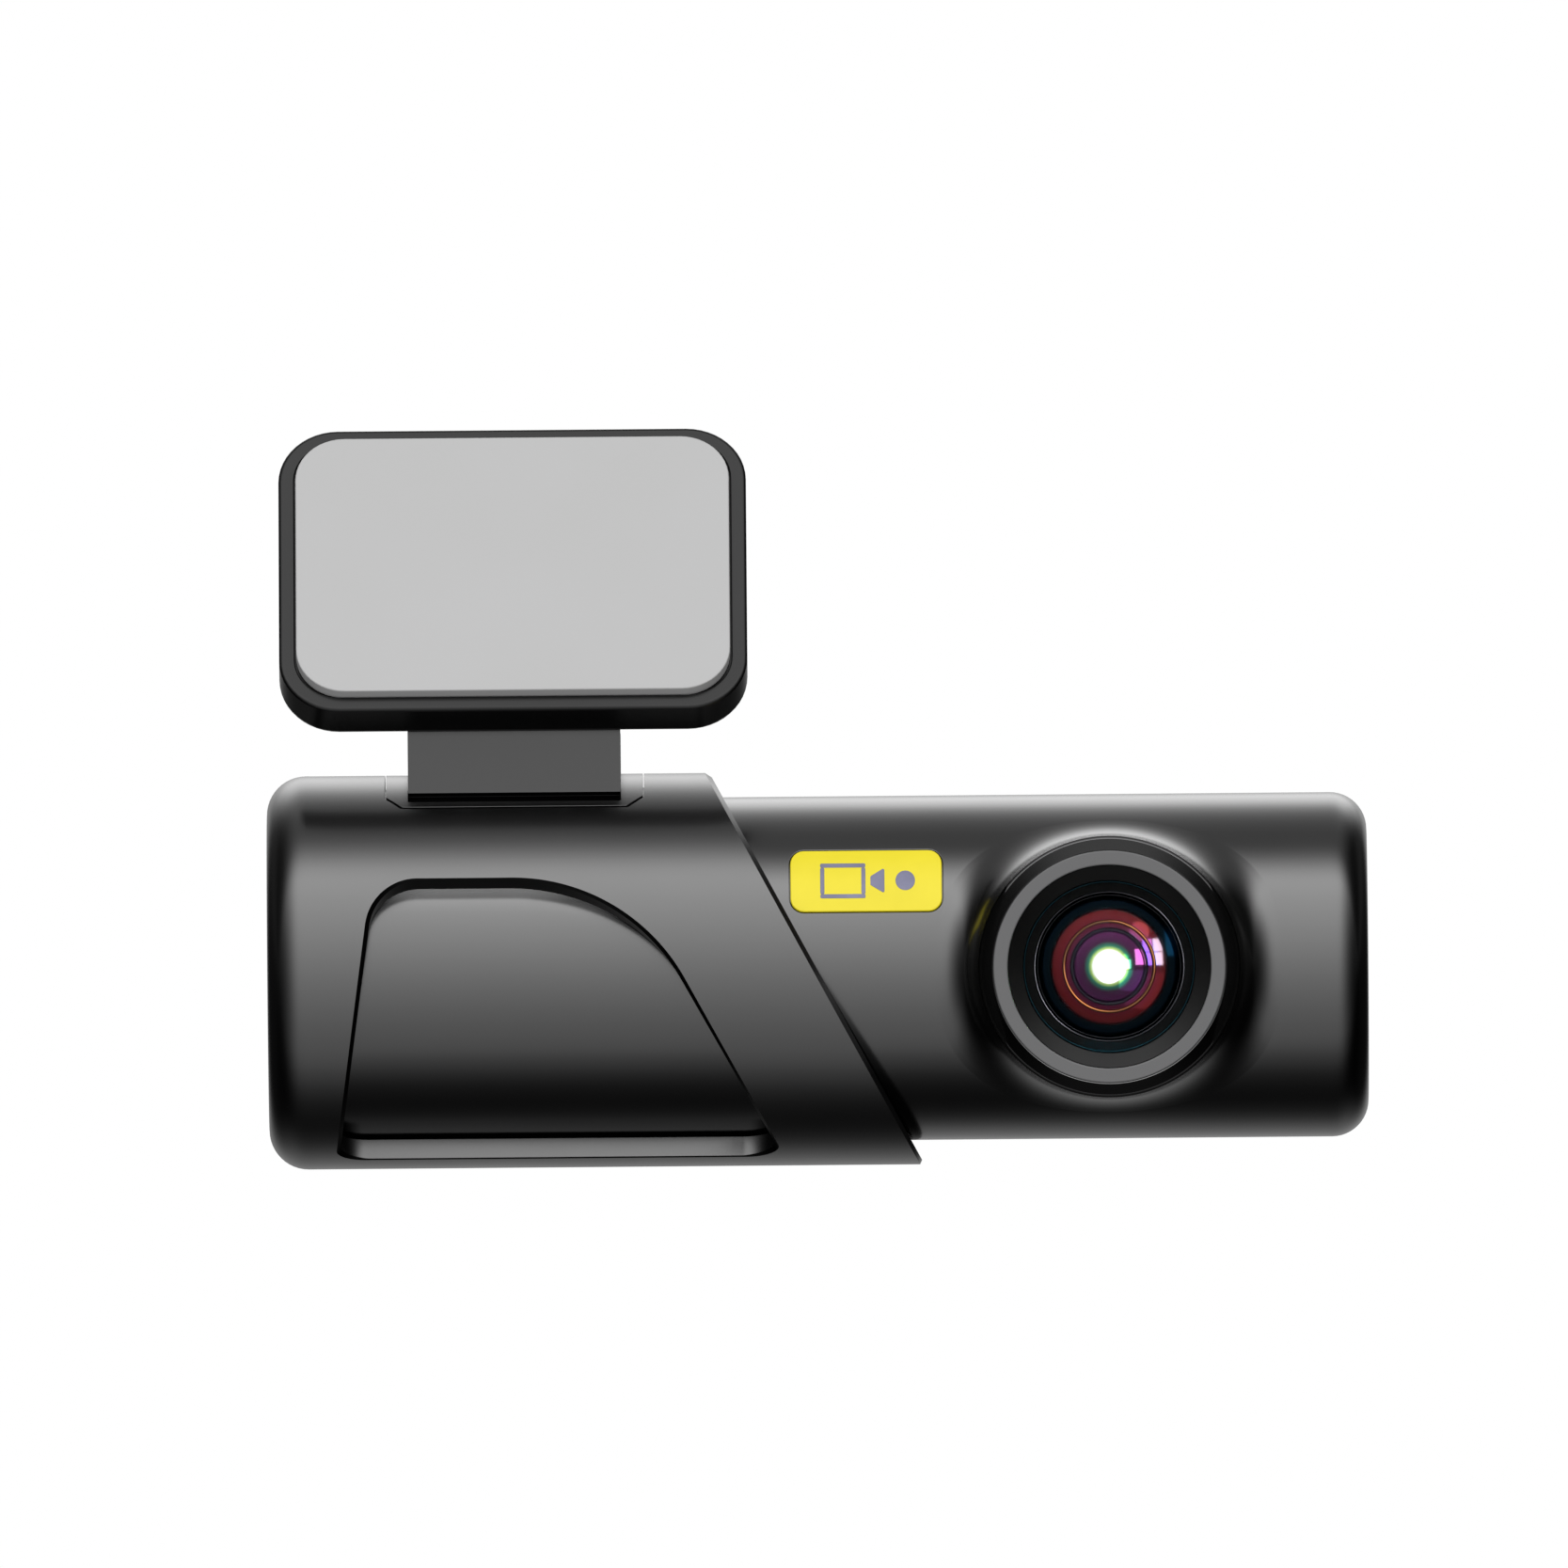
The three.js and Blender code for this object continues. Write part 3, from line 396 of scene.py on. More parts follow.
def fixed(loop):
    """An edge whose wall is radial."""
    return lambda r: loop


def straight_edge(x):
    return np.stack([np.full(AROUND, x), ANGLES[:-1]], -1)


def wrapped_patch(skin, outer, holes, extra, r):
    """Fills the area inside a loop of [x, angle], less some holes, on the cylinder of radius r."""
    flat, faces = fill(metric(outer, r), [metric(hole, r) for hole in holes], extra)
    angle = flat[:, 1] / r
    skin.patch(around(flat[:, 0], angle, r), radial(angle), faces)


def wrapped_tube(skin, left_x, edge, holes, r, step_x=2.0):
    """The cylinder of radius r from a straight left edge to a right edge, given as [x, angle] points all
    round, less some holes."""
    start, end = edge[0, 1], edge[0, 1] + 2 * math.pi
    seam = np.arange(left_x + 1, edge[0, 0] - 0.5, step_x)
    bottom = np.stack([seam, np.full(len(seam), start)], -1)
    right_edge = np.vstack([edge, [[edge[0, 0], end]]])
    top = np.stack([seam[::-1], np.full(len(seam), end)], -1)
    left_edge = np.stack([np.full(len(ANGLES), left_x), ANGLES], -1)[::-1]
    outer = np.vstack([bottom, right_edge, top, left_edge])
    xs, angles = np.meshgrid(np.arange(LEFT, RIGHT, step_x), ANGLES[1:-1:2])
    extra = np.stack([xs.ravel(), angles.ravel()], -1)
    wrapped_patch(skin, outer, holes, metric(extra, r), r)


def wrapped_area(skin, loop, holes, r, step=0.8):
    """The area inside a loop on the cylinder of radius r."""
    flat_loop = metric(loop, r)
    low, high = flat_loop.min(0), flat_loop.max(0)
    xs, ys = np.meshgrid(np.arange(low[0], high[0], 2 * step), np.arange(low[1], high[1], step))
    wrapped_patch(skin, loop, holes, np.stack([xs.ravel(), ys.ravel()], -1), r)


def island(skin, loop, r_top, r_floor, radius):
    """A raised or flush piece of the cylinder: its top, rounded edge, wall and underside."""
    top = rim(skin, fixed(loop), -away(metric(loop, r_top)), r_top, r_floor, radius)
    wrapped_area(skin, top, [], r_top)
    wrapped_area(skin, loop, [], r_floor)


# ---------------- materials

LOOKS = {}


def add_node(tree, kind, inputs, operation=None):
    """A new node, whose inputs are given as values or as other nodes' outputs."""
    node = tree.nodes.new("ShaderNode" + kind)
    if operation:
        node.operation = operation
    for key, value in inputs.items():
        if isinstance(value, bpy.types.NodeSocket):
            tree.links.new(value, node.inputs[key])
        else:
            node.inputs[key].default_value = value
    return node


class Finish:
    """A procedural material on one Principled shader, kept in LOOKS by its name."""

    def __init__(self, name, color, roughness, **values):
        self.material = LOOKS[name] = bpy.data.materials.new(name)
        self.material.use_nodes = True
        self.tree = self.material.node_tree
        self.shader = self.tree.nodes["Principled BSDF"]
        self.shader.inputs["Base Color"].default_value = (*color, 1.0)
        self.shader.inputs["Roughness"].default_value = roughness
        for key, value in values.items():
            self.shader.inputs[key.replace("_", " ")].default_value = value
        self.place = self.tree.nodes.new("ShaderNodeTexCoord").outputs["Object"]

    def link(self, output, name):
        self.tree.links.new(output, self.shader.inputs[name])
        return self

    def noise(self, scale, detail=3.0, stretch=None):
        place = self.place
        if stretch:
            place = add_node(self.tree, "Mapping", {"Vector": place, "Scale": stretch}).outputs[0]
        inputs = {"Vector": place, "Scale": scale, "Detail": detail}
        return add_node(self.tree, "TexNoise", inputs).outputs["Fac"]

    def ramp(self, fac, stops):
        node = add_node(self.tree, "ValToRGB", {"Fac": fac})
        ramp = node.color_ramp
        while len(ramp.elements) < len(stops):
            ramp.elements.new(0.5)
        for element, (position, color) in zip(ramp.elements, stops):
            element.position = position
            element.color = (*color, 1.0)
        return node.outputs["Color"]

    def coating(self, stops, full=8.0):
        """Tints by the distance from the lens axis, given as (mm, colour)."""
        centre = to_row([LENS_X, 0, 0])
        offset = add_node(self.tree, "VectorMath", {0: self.place, 1: centre}, "SUBTRACT").outputs[0]
        flat = add_node(self.tree, "VectorMath", {0: offset, 1: (1, 0, 1)}, "MULTIPLY").outputs[0]
        distance = add_node(self.tree, "VectorMath", {0: flat}, "LENGTH").outputs["Value"]
        share = add_node(self.tree, "MapRange", {"Value": distance, "From Max": full * MM}).outputs[0]
        return self.link(self.ramp(share, [(r / full, tint) for r, tint in stops]), "Base Color")

    def vary_roughness(self, scale, low, high):
        spread = {"Value": self.noise(scale), "To Min": low, "To Max": high}
        return self.link(add_node(self.tree, "MapRange", spread).outputs[0], "Roughness")

    def vary_color(self, scale, low, high):
        return self.link(self.ramp(self.noise(scale), [(0.35, low), (0.65, high)]), "Base Color")

    def bump(self, scale, strength, depth, **noise):
        """Noise of a scale, as bumps of a depth in mm."""
        inputs = {"Height": self.noise(scale, **noise), "Strength": strength, "Distance": depth * MM}
        return self.link(add_node(self.tree, "Bump", inputs).outputs[0], "Normal")


def black_plastic(name, base, roughness, grain, depth, gloss=1.0):
    """Black moulded plastic: base colour, roughness, size of its texture in mm, how deep that is in mm,
    and how much it reflects."""
    finish = Finish(name, (base, base, base * 1.06), roughness, Specular_IOR_Level=gloss, IOR=1.55)
    finish.vary_color(90, (base * 0.8,) * 3, (base * 1.25, base * 1.25, base * 1.35))
    finish.vary_roughness(140, roughness - 0.02, roughness + 0.02)
    finish.bump(1 / (grain * MM), 0.6, depth, detail=2.0)


def make_materials():
    black_plastic("cradle_black", 0.0012, 0.25, 0.16, 0.0004)
    black_plastic("barrel_black", 0.0012, 0.20, 0.16, 0.0004)
    black_plastic("mount_black", 0.002, 0.3, 0.22, 0.002, 0.26)
    black_plastic("neck_black", 0.002, 0.3, 0.22, 0.002, 0.62)
    black_plastic("panel_black", 0.01, 0.45, 0.2, 0.004)
    black_plastic("button_black", 0.008, 0.4, 0.2, 0.003)
    black_plastic("lens_black", 0.001, 0.3, 0.2, 0.001, 0.62)
    # tube_black is the lens tube's own matte black, and is also used as painted shade on the sleeve's window
    # walls, the foot's hollows and the neck's root
    black_plastic("tube_black", 0.0005, 0.35, 0.2, 0.001, 0.06)

    pad = Finish("adhesive_grey", (0.385, 0.385, 0.385), 0.75)
    pad.vary_color(60, (0.383, 0.383, 0.383), (0.39, 0.39, 0.392)).bump(2500, 0.3, 0.02, detail=2.0)
    yellow = Finish("badge_yellow", (0.66, 0.56, 0.012), 0.4, IOR=1.5, Specular_IOR_Level=0.3)
    yellow.vary_color(300, (0.65, 0.55, 0.011), (0.68, 0.575, 0.014)).bump(3000, 0.2, 0.004)
    print_grey = Finish("badge_print", (0.13, 0.13, 0.2), 0.45, Metallic=0.3)
    print_grey.vary_color(500, (0.12, 0.12, 0.185), (0.15, 0.15, 0.225))
    trim = Finish("trim_grey", (0.085, 0.085, 0.087), 0.4)
    trim.vary_roughness(400, 0.36, 0.44).bump(4000, 0.3, 0.003)
    Finish("rubber_black", (0.008, 0.008, 0.008), 0.8).bump(2500, 0.4, 0.01)

    steel = Finish("steel", (0.5, 0.51, 0.53), 0.3, Metallic=1.0)
    steel.vary_roughness(900, 0.24, 0.4).bump(1800, 0.3, 0.004, stretch=(0.2, 1, 1))
    Finish("aluminium", (0.62, 0.63, 0.65), 0.38, Metallic=1.0).vary_roughness(700, 0.32, 0.46)
    board = Finish("board_green", (0.01, 0.09, 0.035), 0.4)
    board.vary_color(700, (0.008, 0.075, 0.03), (0.02, 0.13, 0.05))
    chip = Finish("chip_black", (0.012, 0.012, 0.013), 0.5)
    chip.vary_color(800, (0.01, 0.01, 0.011), (0.018, 0.018, 0.02)).bump(4000, 0.3, 0.005)
    flex = Finish("flex_amber", (0.4, 0.16, 0.02), 0.3)
    flex.vary_color(400, (0.34, 0.13, 0.015), (0.46, 0.19, 0.03))
    clear = Finish("clear_plastic", (0.75, 0.8, 0.85), 0.35, Transmission_Weight=0.3)
    clear.vary_roughness(500, 0.3, 0.42)

    blue = (0.45, 0.85, 1.0, 1.0)
    glass = Finish("lens_glass", (0.0, 0.001, 0.002), 0.04, Alpha=0.08, IOR=1.55, Specular_Tint=blue)
    glass.vary_roughness(300, 0.02, 0.05)
    Finish("filter_glass", (0.1, 0.35, 0.4), 0.08, Alpha=0.6).vary_roughness(300, 0.05, 0.1)
    coatings = {
        "coating_teal": [
            (4.7, (0.002, 0.004, 0.005)), (5.4, (0.0015, 0.0035, 0.006)), (6.0, (0.002, 0.005, 0.010))],
        "coating_red": [
            (3.2, (0.05, 0.005, 0.02)), (3.7, (0.07, 0.004, 0.010)), (4.35, (0.075, 0.0035, 0.004)),
            (4.85, (0.035, 0.002, 0.003))],
        "coating_purple": [
            (1.30, (0.9, 0.95, 0.9)), (1.48, (0.35, 0.5, 0.15)), (1.7, (0.02, 0.13, 0.08)),
            (2.05, (0.035, 0.010, 0.03)), (2.7, (0.05, 0.007, 0.04)), (3.2, (0.03, 0.004, 0.02))],
    }
    for name, stops in coatings.items():
        Finish(name, (0.1, 0.1, 0.1), 0.06, Metallic=1.0).coating(stops)
    Finish("lip_gold", (0.14, 0.055, 0.02), 0.2, Metallic=1.0).vary_roughness(500, 0.15, 0.25)
    Finish("lip_grey", (0.03, 0.03, 0.034), 0.2, Metallic=1.0).vary_roughness(500, 0.2, 0.3)
    Finish("lip_teal", (0.008, 0.03, 0.04), 0.2, Metallic=1.0).vary_roughness(500, 0.2, 0.3)


def linked(name, data):
    """A new object in the scene."""
    thing = bpy.data.objects.new(name, data)
    bpy.context.scene.collection.objects.link(thing)
    return thing


def finished(thing, body, slot, look=None, replaces=(), second_look=None):
    """Gives a new piece its material or two, its body and the CAD nodes that it stands for."""
    for name in filter(None, (look or slot, second_look)):
        thing.data.materials.append(LOOKS[name])
    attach(thing, body)
    if replaces:
        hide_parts(*replaces)


def dress_cad_nodes():
    """The CAD nodes that stay take the material of their own slot."""
    for part in frame["record"]["subparts"]:
        mesh = frame["nodes"][part["node"]].data
        mesh.materials.clear()
        mesh.materials.append(LOOKS[part["material_slot"]])


# ---------------- cradle sleeve, foot and neck

def foot_loop(margin, margin_round):
    """The foot's outline, grown by one margin along the barrel and another round it."""
    wide, narrow = FOOT_HALF + margin, FOOT_NARROW + margin
    edge, shoulder = FOOT_EDGE - margin_round / SLEEVE_R, FOOT_SHOULDER - margin_round / SLEEVE_R
    corners = [
        (-narrow, edge), (narrow, edge), (wide, shoulder), (wide, math.pi - shoulder),
        (narrow, math.pi - edge), (-narrow, math.pi - edge), (-wide, math.pi - shoulder), (-wide, shoulder),
    ]
    flat = rounded([(MOUNT_X + x, angle * SLEEVE_R, 0.35) for x, angle in corners])
    return flat / [1, SLEEVE_R]


def oblique_edge(r):
    angles = ANGLES[:-1]
    return np.stack([CUT_X + CUT_SLOPE * r * np.sin(angles), angles], -1)


def into_sleeve():
    """Unit direction from the oblique edge into the sleeve, on the unrolled cylinder."""
    slope = CUT_SLOPE * np.cos(ANGLES[:-1])
    return unit(np.stack([-np.ones_like(slope), slope], -1))


def window_cut(skin, window):
    """The window's wall, with a wider chamfer at its sides. The chamfer and the wall above the sill take a
    near-unreflecting black as painted shade; the sill below stays glossy. Returns where the outer surface begins.
    """
    outward = away(metric(window, SLEEVE_R))
    first = len(skin.faces)
    width = 0.1 + 0.25 * np.abs(outward[:, 0])
    top = chamfer(skin, fixed(window), outward, SLEEVE_R, SLEEVE_IN_R, width, PAINTED_SHADE)
    # walls above the sill get the near-unreflecting black: painted shade where the window's edge hides the light
    for i in range(first, len(skin.faces)):
        middle = np.mean([skin.points[k] for k in skin.faces[i]], axis=0)
        if middle[2] > WINDOW_SILL:
            skin.looks[i] = PAINTED_SHADE
    return top


def cradle_sleeve():
    skin = Skin()
    edge_top = chamfer(skin, oblique_edge, into_sleeve(), SLEEVE_R, SLEEVE_IN_R, CUT_CHAMFER)
    window = lifted(rounded(WINDOW), SLEEVE_R)
    window_top = window_cut(skin, window)
    seat = foot_loop(0.1, 0.24)
    floor_r = SLEEVE_R - FOOT_DEPTH - GAP
    seat_top = rim(skin, fixed(seat), away(metric(seat, SLEEVE_R)), SLEEVE_R, floor_r, FOOT_ROUND)
    wrapped_area(skin, seat, [], floor_r)

    fillet_x, fillet_r = LEFT + SLEEVE_FILLET, SLEEVE_R - SLEEVE_FILLET
    inner, mouth_x = LEFT + FLANGE, LEFT + MOUTH_EDGE
    wrapped_tube(skin, fillet_x, edge_top, [window_top, seat_top], SLEEVE_R)
    wrapped_tube(skin, inner, oblique_edge(SLEEVE_IN_R), [window], SLEEVE_IN_R)
    turn(skin, [
        arc(fillet_x, fillet_r, SLEEVE_FILLET, 90, 180, 12),
        [(LEFT, fillet_r), (LEFT, MOUTH_R + MOUTH_EDGE)],
        arc(mouth_x, MOUTH_R + MOUTH_EDGE, MOUTH_EDGE, 180, 270, 5),
        *crisp((mouth_x, MOUTH_R), (inner, MOUTH_R), (inner, SLEEVE_IN_R)),
    ], around, ANGLES[:-1])
    shell = skin.build("sleeve_shell")
    # the second look, tube_black, paints shade on the window's chamfer and upper walls
    finished(shell, "cradle", "cradle_black", replaces=["cradle_sleeve"], second_look="tube_black")


def foot_hollow(front):
    """The outline of the hollow on the front or the back of the neck's root."""
    corners = [(-1, HOLLOW_FROM, 0.1), (1, HOLLOW_FROM, 0.1), (1, HOLLOW_TO, 0.05), (-1, HOLLOW_TO, 0.05)]
    flat = rounded([(MOUNT_X + side * NECK_HALF_W, angle * SLEEVE_R, r) for side, angle, r in corners])
    loop = flat / [1, SLEEVE_R]
    return loop if front else (loop * [1, -1] + [0, math.pi])[::-1]


def mount_foot():
    skin = Skin()
    outline = foot_loop(0, 0)
    low = SLEEVE_R - FOOT_DEPTH
    top = rim(skin, fixed(outline), -away(metric(outline, SLEEVE_R)), SLEEVE_R, low, FOOT_ROUND)
    hollow_tops = []
    for hollow in (foot_hollow(True), foot_hollow(False)):
        out = away(metric(hollow, SLEEVE_R))
        # the hollow's wall and floor take the near-unreflecting black: a real recess, darkened further as painted
        # shade under the neck
        hollow_tops.append(
            rim(skin, fixed(hollow), out, SLEEVE_R, HOLLOW_FLOOR, FOOT_ROUND, wall_look=PAINTED_SHADE))
        skin.look = PAINTED_SHADE
        wrapped_area(skin, hollow, [], HOLLOW_FLOOR)
        skin.look = GLOSSY
    wrapped_area(skin, top, hollow_tops, SLEEVE_R)
    wrapped_area(skin, outline, [], low)
    foot = skin.build("neck_foot")
    finished(foot, "cradle", "mount_black", "cradle_black", ["mount_neck"], "tube_black")


def prism(name, outline, low, high, bevel, convert=to_row, segments=3):
    """An outline in (y, z) run along X, with every edge rounded by a bevel."""
    mesh = bpy.data.meshes.new(name)
    count = len(outline)
    near = [(low, y, z) for y, z in outline]
    far = [(high, y, z) for y, z in outline]
    faces = [list(range(count)), list(range(2 * count - 1, count - 1, -1))]
    faces += [[i, (i + 1) % count, count + (i + 1) % count, count + i] for i in range(count)]
    mesh.from_pydata([tuple(point) for point in convert(np.array(near + far))], [], faces)
    work = bmesh.new()
    work.from_mesh(mesh)
    bmesh.ops.recalc_face_normals(work, faces=work.faces)
    sharp = [edge for edge in work.edges if edge.calc_face_angle(0) > math.radians(40)]
    bmesh.ops.bevel(work, geom=sharp, offset=bevel * MM, segments=segments, profile=0.5,
                    affect="EDGES", clamp_overlap=True)
    work.to_mesh(mesh)
    work.free()
    thing = linked(name, mesh)
    for polygon in mesh.polygons:
        polygon.use_smooth = True
    modifier = thing.modifiers.new("weighted", "WEIGHTED_NORMAL")
    modifier.keep_sharp = False
    modifier.weight = 80
    return baked(thing)


def baked(thing):
    """Applies a piece's modifiers."""
    bpy.context.view_layer.update()
    graph = bpy.context.evaluated_depsgraph_get()
    mesh = bpy.data.meshes.new_from_object(thing.evaluated_get(graph))
    thing.modifiers.clear()
    thing.data = mesh
    return thing


def neck_root():
    """The outline of the neck's narrow root, which has a small ledge in front."""
    waist, top, foot_z = NECK_HALF_D - 0.9, 12.9, SLEEVE_R - FOOT_DEPTH + 0.02
    ledge, ledge_deep = NECK_FOOT_Z - 0.26, 0.5
    front = [
        (waist, top), (waist + 0.1, ledge - 0.1), (waist + ledge_deep, ledge - 0.07),
        (waist + ledge_deep, ledge), (waist + 0.1, ledge + 0.03), (waist + 0.1, foot_z),
    ]
    return [(-y, z) for y, z in front] + [(waist, foot_z), (waist, top)]


def mount_neck():
    shelf, lip_z = HINGE[2] - SHELF_DROP, HINGE[2] - LIP_DROP
    stem = rounded([
        (-NECK_HALF_D, NECK_FOOT_Z, 0.02), (NECK_HALF_D, NECK_FOOT_Z, 0.02), (NECK_HALF_D, shelf, 1.8),
        (-5.0, shelf, 0.05), (-5.4, lip_z, 0.1), (-NECK_HALF_D, lip_z, 0.25),
    ], 1.0)
    knuckle = lug(HINGE[1], HINGE[2], KNUCKLE_R, shelf - 0.5)
    # the neck's root takes tube_black, a near-unreflecting black: painted shade under the neck's front
    for name, outline, half, bevel, segments, look in (
        ("neck_stem", stem, NECK_HALF_W, 0.2, 3, "neck_black"),
        ("neck_root", neck_root(), NECK_HALF_W - 0.05, 0.01, 1, "tube_black"),
        ("neck_knuckle", knuckle, KNUCKLE_HALF, 0.2, 3, "neck_black"),
    ):
        piece = prism(name, outline, MOUNT_X - half, MOUNT_X + half, bevel, segments=segments)
        finished(piece, "cradle", "mount_black", look, ["mount_neck"])


def lug(y, z, radius, base, steps=32):
    """A half-round lug in (y, z): a semicircle round (y, z), with straight sides to a base line."""
    turn_way = 1 if base < z else -1
    t = np.linspace(0, math.pi, steps + 1) * turn_way
    ring = [(y + radius * math.cos(a), z + radius * math.sin(a)) for a in t]
    return [(y + radius, base), *ring, (y - radius, base)]


# ---------------- camera barrel

def boss_fillet(psi):
    """Centre, and the directions to the boss and to the barrel, of the ball that rolls in the corner."""
    ball = BOSS_FILLET + BOSS_FILLET_MORE * np.sin(psi) ** 2
    reach = BOSS_R + ball
    high = reach * np.sin(psi)
    depth = np.sqrt((BARREL_R + ball) ** 2 - high ** 2)
    centre = np.stack([LENS_X + reach * np.cos(psi), -depth, high], -1)
    to_boss = np.stack([-np.cos(psi), np.zeros_like(psi), -np.sin(psi)], -1)
    to_barrel = unit(np.stack([np.zeros_like(psi), depth, -high], -1))
    return centre, to_boss, to_barrel, ball[:, None]


def slerp(a, b, t):
    angle = np.arccos(np.clip(np.sum(a * b, -1, keepdims=True), -1, 1))
    return (np.sin((1 - t) * angle) * a + np.sin(t * angle) * b) / np.sin(angle)


def boss(skin):
    """The lens boss with its rolling fillet. Returns its outline on the barrel as [x, angle]."""
    centre, to_boss, to_barrel, ball = boss_fillet(PSI)
    ways = [slerp(to_boss, to_barrel, t) for t in np.linspace(0, 1, 13)]
    rows = [centre + ball * way for way in ways]
    skin.grid(rows)
    nose_depth = (NOSE_TO - NOSE_FROM) * 1.08
    turn_r = BOSS_R - NOSE_TO
    front = BOSS_FRONT + nose_depth + turn_r * 1.1
    seat_r = TRIM_R + 0.03
    seat_y = BOSS_FRONT + 1.5
    wall = [(1 - t) * rows[0][:, 1] + t * front for t in (0, 0.5, 1)]
    skin.grid([at_lens(y, PSI, BOSS_R) for y in wall])
    bore_low = -np.sqrt(BARREL_IN_R ** 2 - (BORE_R * np.sin(PSI)) ** 2)
    skin.grid([at_lens((1 - t) * seat_y + t * bore_low, PSI, BORE_R) for t in (0, 0.5, 1)])
    turn(skin, [
        [(front, BOSS_R), (front - turn_r * 0.6, BOSS_R - turn_r * 0.2), (BOSS_FRONT + nose_depth, NOSE_TO)],
        *crisp((BOSS_FRONT + nose_depth, NOSE_TO), (BOSS_FRONT, NOSE_FROM), (BOSS_FRONT + 0.03, seat_r),
               (seat_y, seat_r), (seat_y, BORE_R)),
    ], at_lens, PSI)
    outline = rows[-1]
    on_barrel = np.stack([outline[:, 0], np.arctan2(outline[:, 2], -outline[:, 1])], -1)
    bore = at_lens(bore_low, PSI, BORE_R)
    on_inside = np.stack([bore[:, 0], np.arctan2(bore[:, 2], -bore[:, 1])], -1)
    return on_barrel, on_inside


def badge_loop(margin=0.0):
    middle, size = (badge_low + badge_high) / 2, badge_high - badge_low + 2 * margin
    return lifted(rectangle(size[0], size[2], BADGE_CORNER + margin, middle[0], middle[2]), BADGE_R)


def back_openings():
    """Loops through the barrel's back wall: button, light pipe, microphone, speaker and vents."""
    speaker_x, ring = centre_x("speaker"), 2.2
    spots = [
        (centre_x("lock_button"), 0.0, 3.4, 96),
        (centre_x("status_light_pipe"), 0.0, 1.0, 40),
        (centre_x("microphone"), 0.0, 0.5, 32),
        (speaker_x, 0.0, 0.55, 32),
    ]
    for k in range(6):
        angle = k * math.pi / 3
        spots.append((speaker_x + ring * math.cos(angle), ring * math.sin(angle), 0.55, 32))
    loops = [from_arc(circle(x, y, r, steps), BARREL_R, math.pi) for x, y, r, steps in spots]
    vent = rectangle(14, 0.9, 0.44, LENS_X, 0, 0.3)
    return loops + [from_arc(vent, BARREL_R, math.pi - math.radians(angle)) for angle in VENT_ANGLES]


def barrel_shell():
    skin = Skin()
    on_barrel, on_inside = boss(skin)
    openings = back_openings()
    tops = [rim(skin, fixed(loop), away(metric(loop, BARREL_R)), BARREL_R, BARREL_IN_R, 0.15)
            for loop in openings]
    seat = badge_loop(0.06)
    seat_r = BADGE_R - 0.6
    seat_top = rim(skin, fixed(seat), away(metric(seat, BARREL_R)), BARREL_R, seat_r, 0.08)
    wrapped_area(skin, seat, [], seat_r)
    fillet_x, inner_end, cut = RIGHT - END_FILLET, RIGHT - END_WALL, 1.4
    wrapped_tube(skin, BARREL_LEFT, straight_edge(fillet_x), [on_barrel, seat_top, *tops], BARREL_R)
    wrapped_tube(skin, BARREL_LEFT, straight_edge(inner_end), [on_inside, *openings], BARREL_IN_R)
    turn(skin, [
        arc(fillet_x, BARREL_R - END_FILLET, END_FILLET, 90, 0, 12),
        [(RIGHT, BARREL_R - END_FILLET), (RIGHT, 6), (RIGHT, 0)],
        *crisp((inner_end, BARREL_IN_R), (inner_end + cut, BARREL_IN_R - cut), (inner_end + cut, 0)),
        [(BARREL_LEFT, BARREL_IN_R), (BARREL_LEFT, BARREL_R)],
    ], around, ANGLES[:-1])
    finished(skin.build("barrel_body"), "camera", "barrel_black", replaces=["barrel_shell"])


def badge():
    skin = Skin()
    island(skin, badge_loop(), BADGE_R, BADGE_R - 0.4, 0.12)
    finished(skin.build("badge_plate"), "camera", "badge_yellow", replaces=["badge"])
    marks = Skin()
    x, _, z = (badge_low + badge_high) / 2
    body_x, body_wide, body_high, stroke = x - 1.9, 3.7, 2.5, 0.34
    side = (body_wide - stroke) / 2
    bars = [
        (body_x, z + body_high / 2, body_wide, stroke), (body_x, z - body_high / 2, body_wide, stroke),
        (body_x - side, z, stroke, body_high - stroke), (body_x + side, z, stroke, body_high - stroke),
    ]
    outlines = [rectangle(width, height, 0.12, bar_x, bar_z, 0.12) for bar_x, bar_z, width, height in bars]
    near, far, near_high, far_high = x + 0.35, x + 1.5, 0.35, 1.05
    outlines.append(rounded([
        (near, z - near_high, 0.1), (far, z - far_high, 0.12),
        (far, z + far_high, 0.12), (near, z + near_high, 0.1)], 0.15))
    outlines.append(circle(x + 3.2, z, 0.8, 40))
    for outline in outlines:
        island(marks, lifted(outline, BADGE_R), BADGE_R + 0.02, BADGE_R - 0.05, 0.015)
    finished(marks.build("badge_pictogram"), "camera", "badge_yellow", "badge_print")


# ---------------- lens

def lens_piece(name, spans, slot, look=None, replaces=()):
    skin = Skin()
    turn(skin, spans, at_lens, PSI)
    finished(skin.build(name), "camera", slot, look, replaces)


def trim_ring():
    edge = 0.12
    front, back = BOSS_FRONT + edge, BOSS_FRONT + 1.2
    lens_piece("trim_ring_fine", [
        arc(front, TRIM_R - edge, edge, 90, 180, 4),
        [(BOSS_FRONT, TRIM_R - edge), (BOSS_FRONT, BORE_R + edge)],
        arc(front, BORE_R + edge, edge, 180, 270, 4),
        *crisp((front, BORE_R), (back, BORE_R), (back, TRIM_R), (front, TRIM_R)),
    ], "trim_grey", replaces=["trim_ring"])


def dome(edge_y, rho, r_out, r_in, steps=24):
    """The front profile of an element: a cap of radius rho whose edge is at edge_y and r_out."""
    r = np.linspace(r_out, r_in, steps)
    return list(zip(edge_y - np.sqrt(rho ** 2 - r ** 2) + math.sqrt(rho ** 2 - r_out ** 2), r))


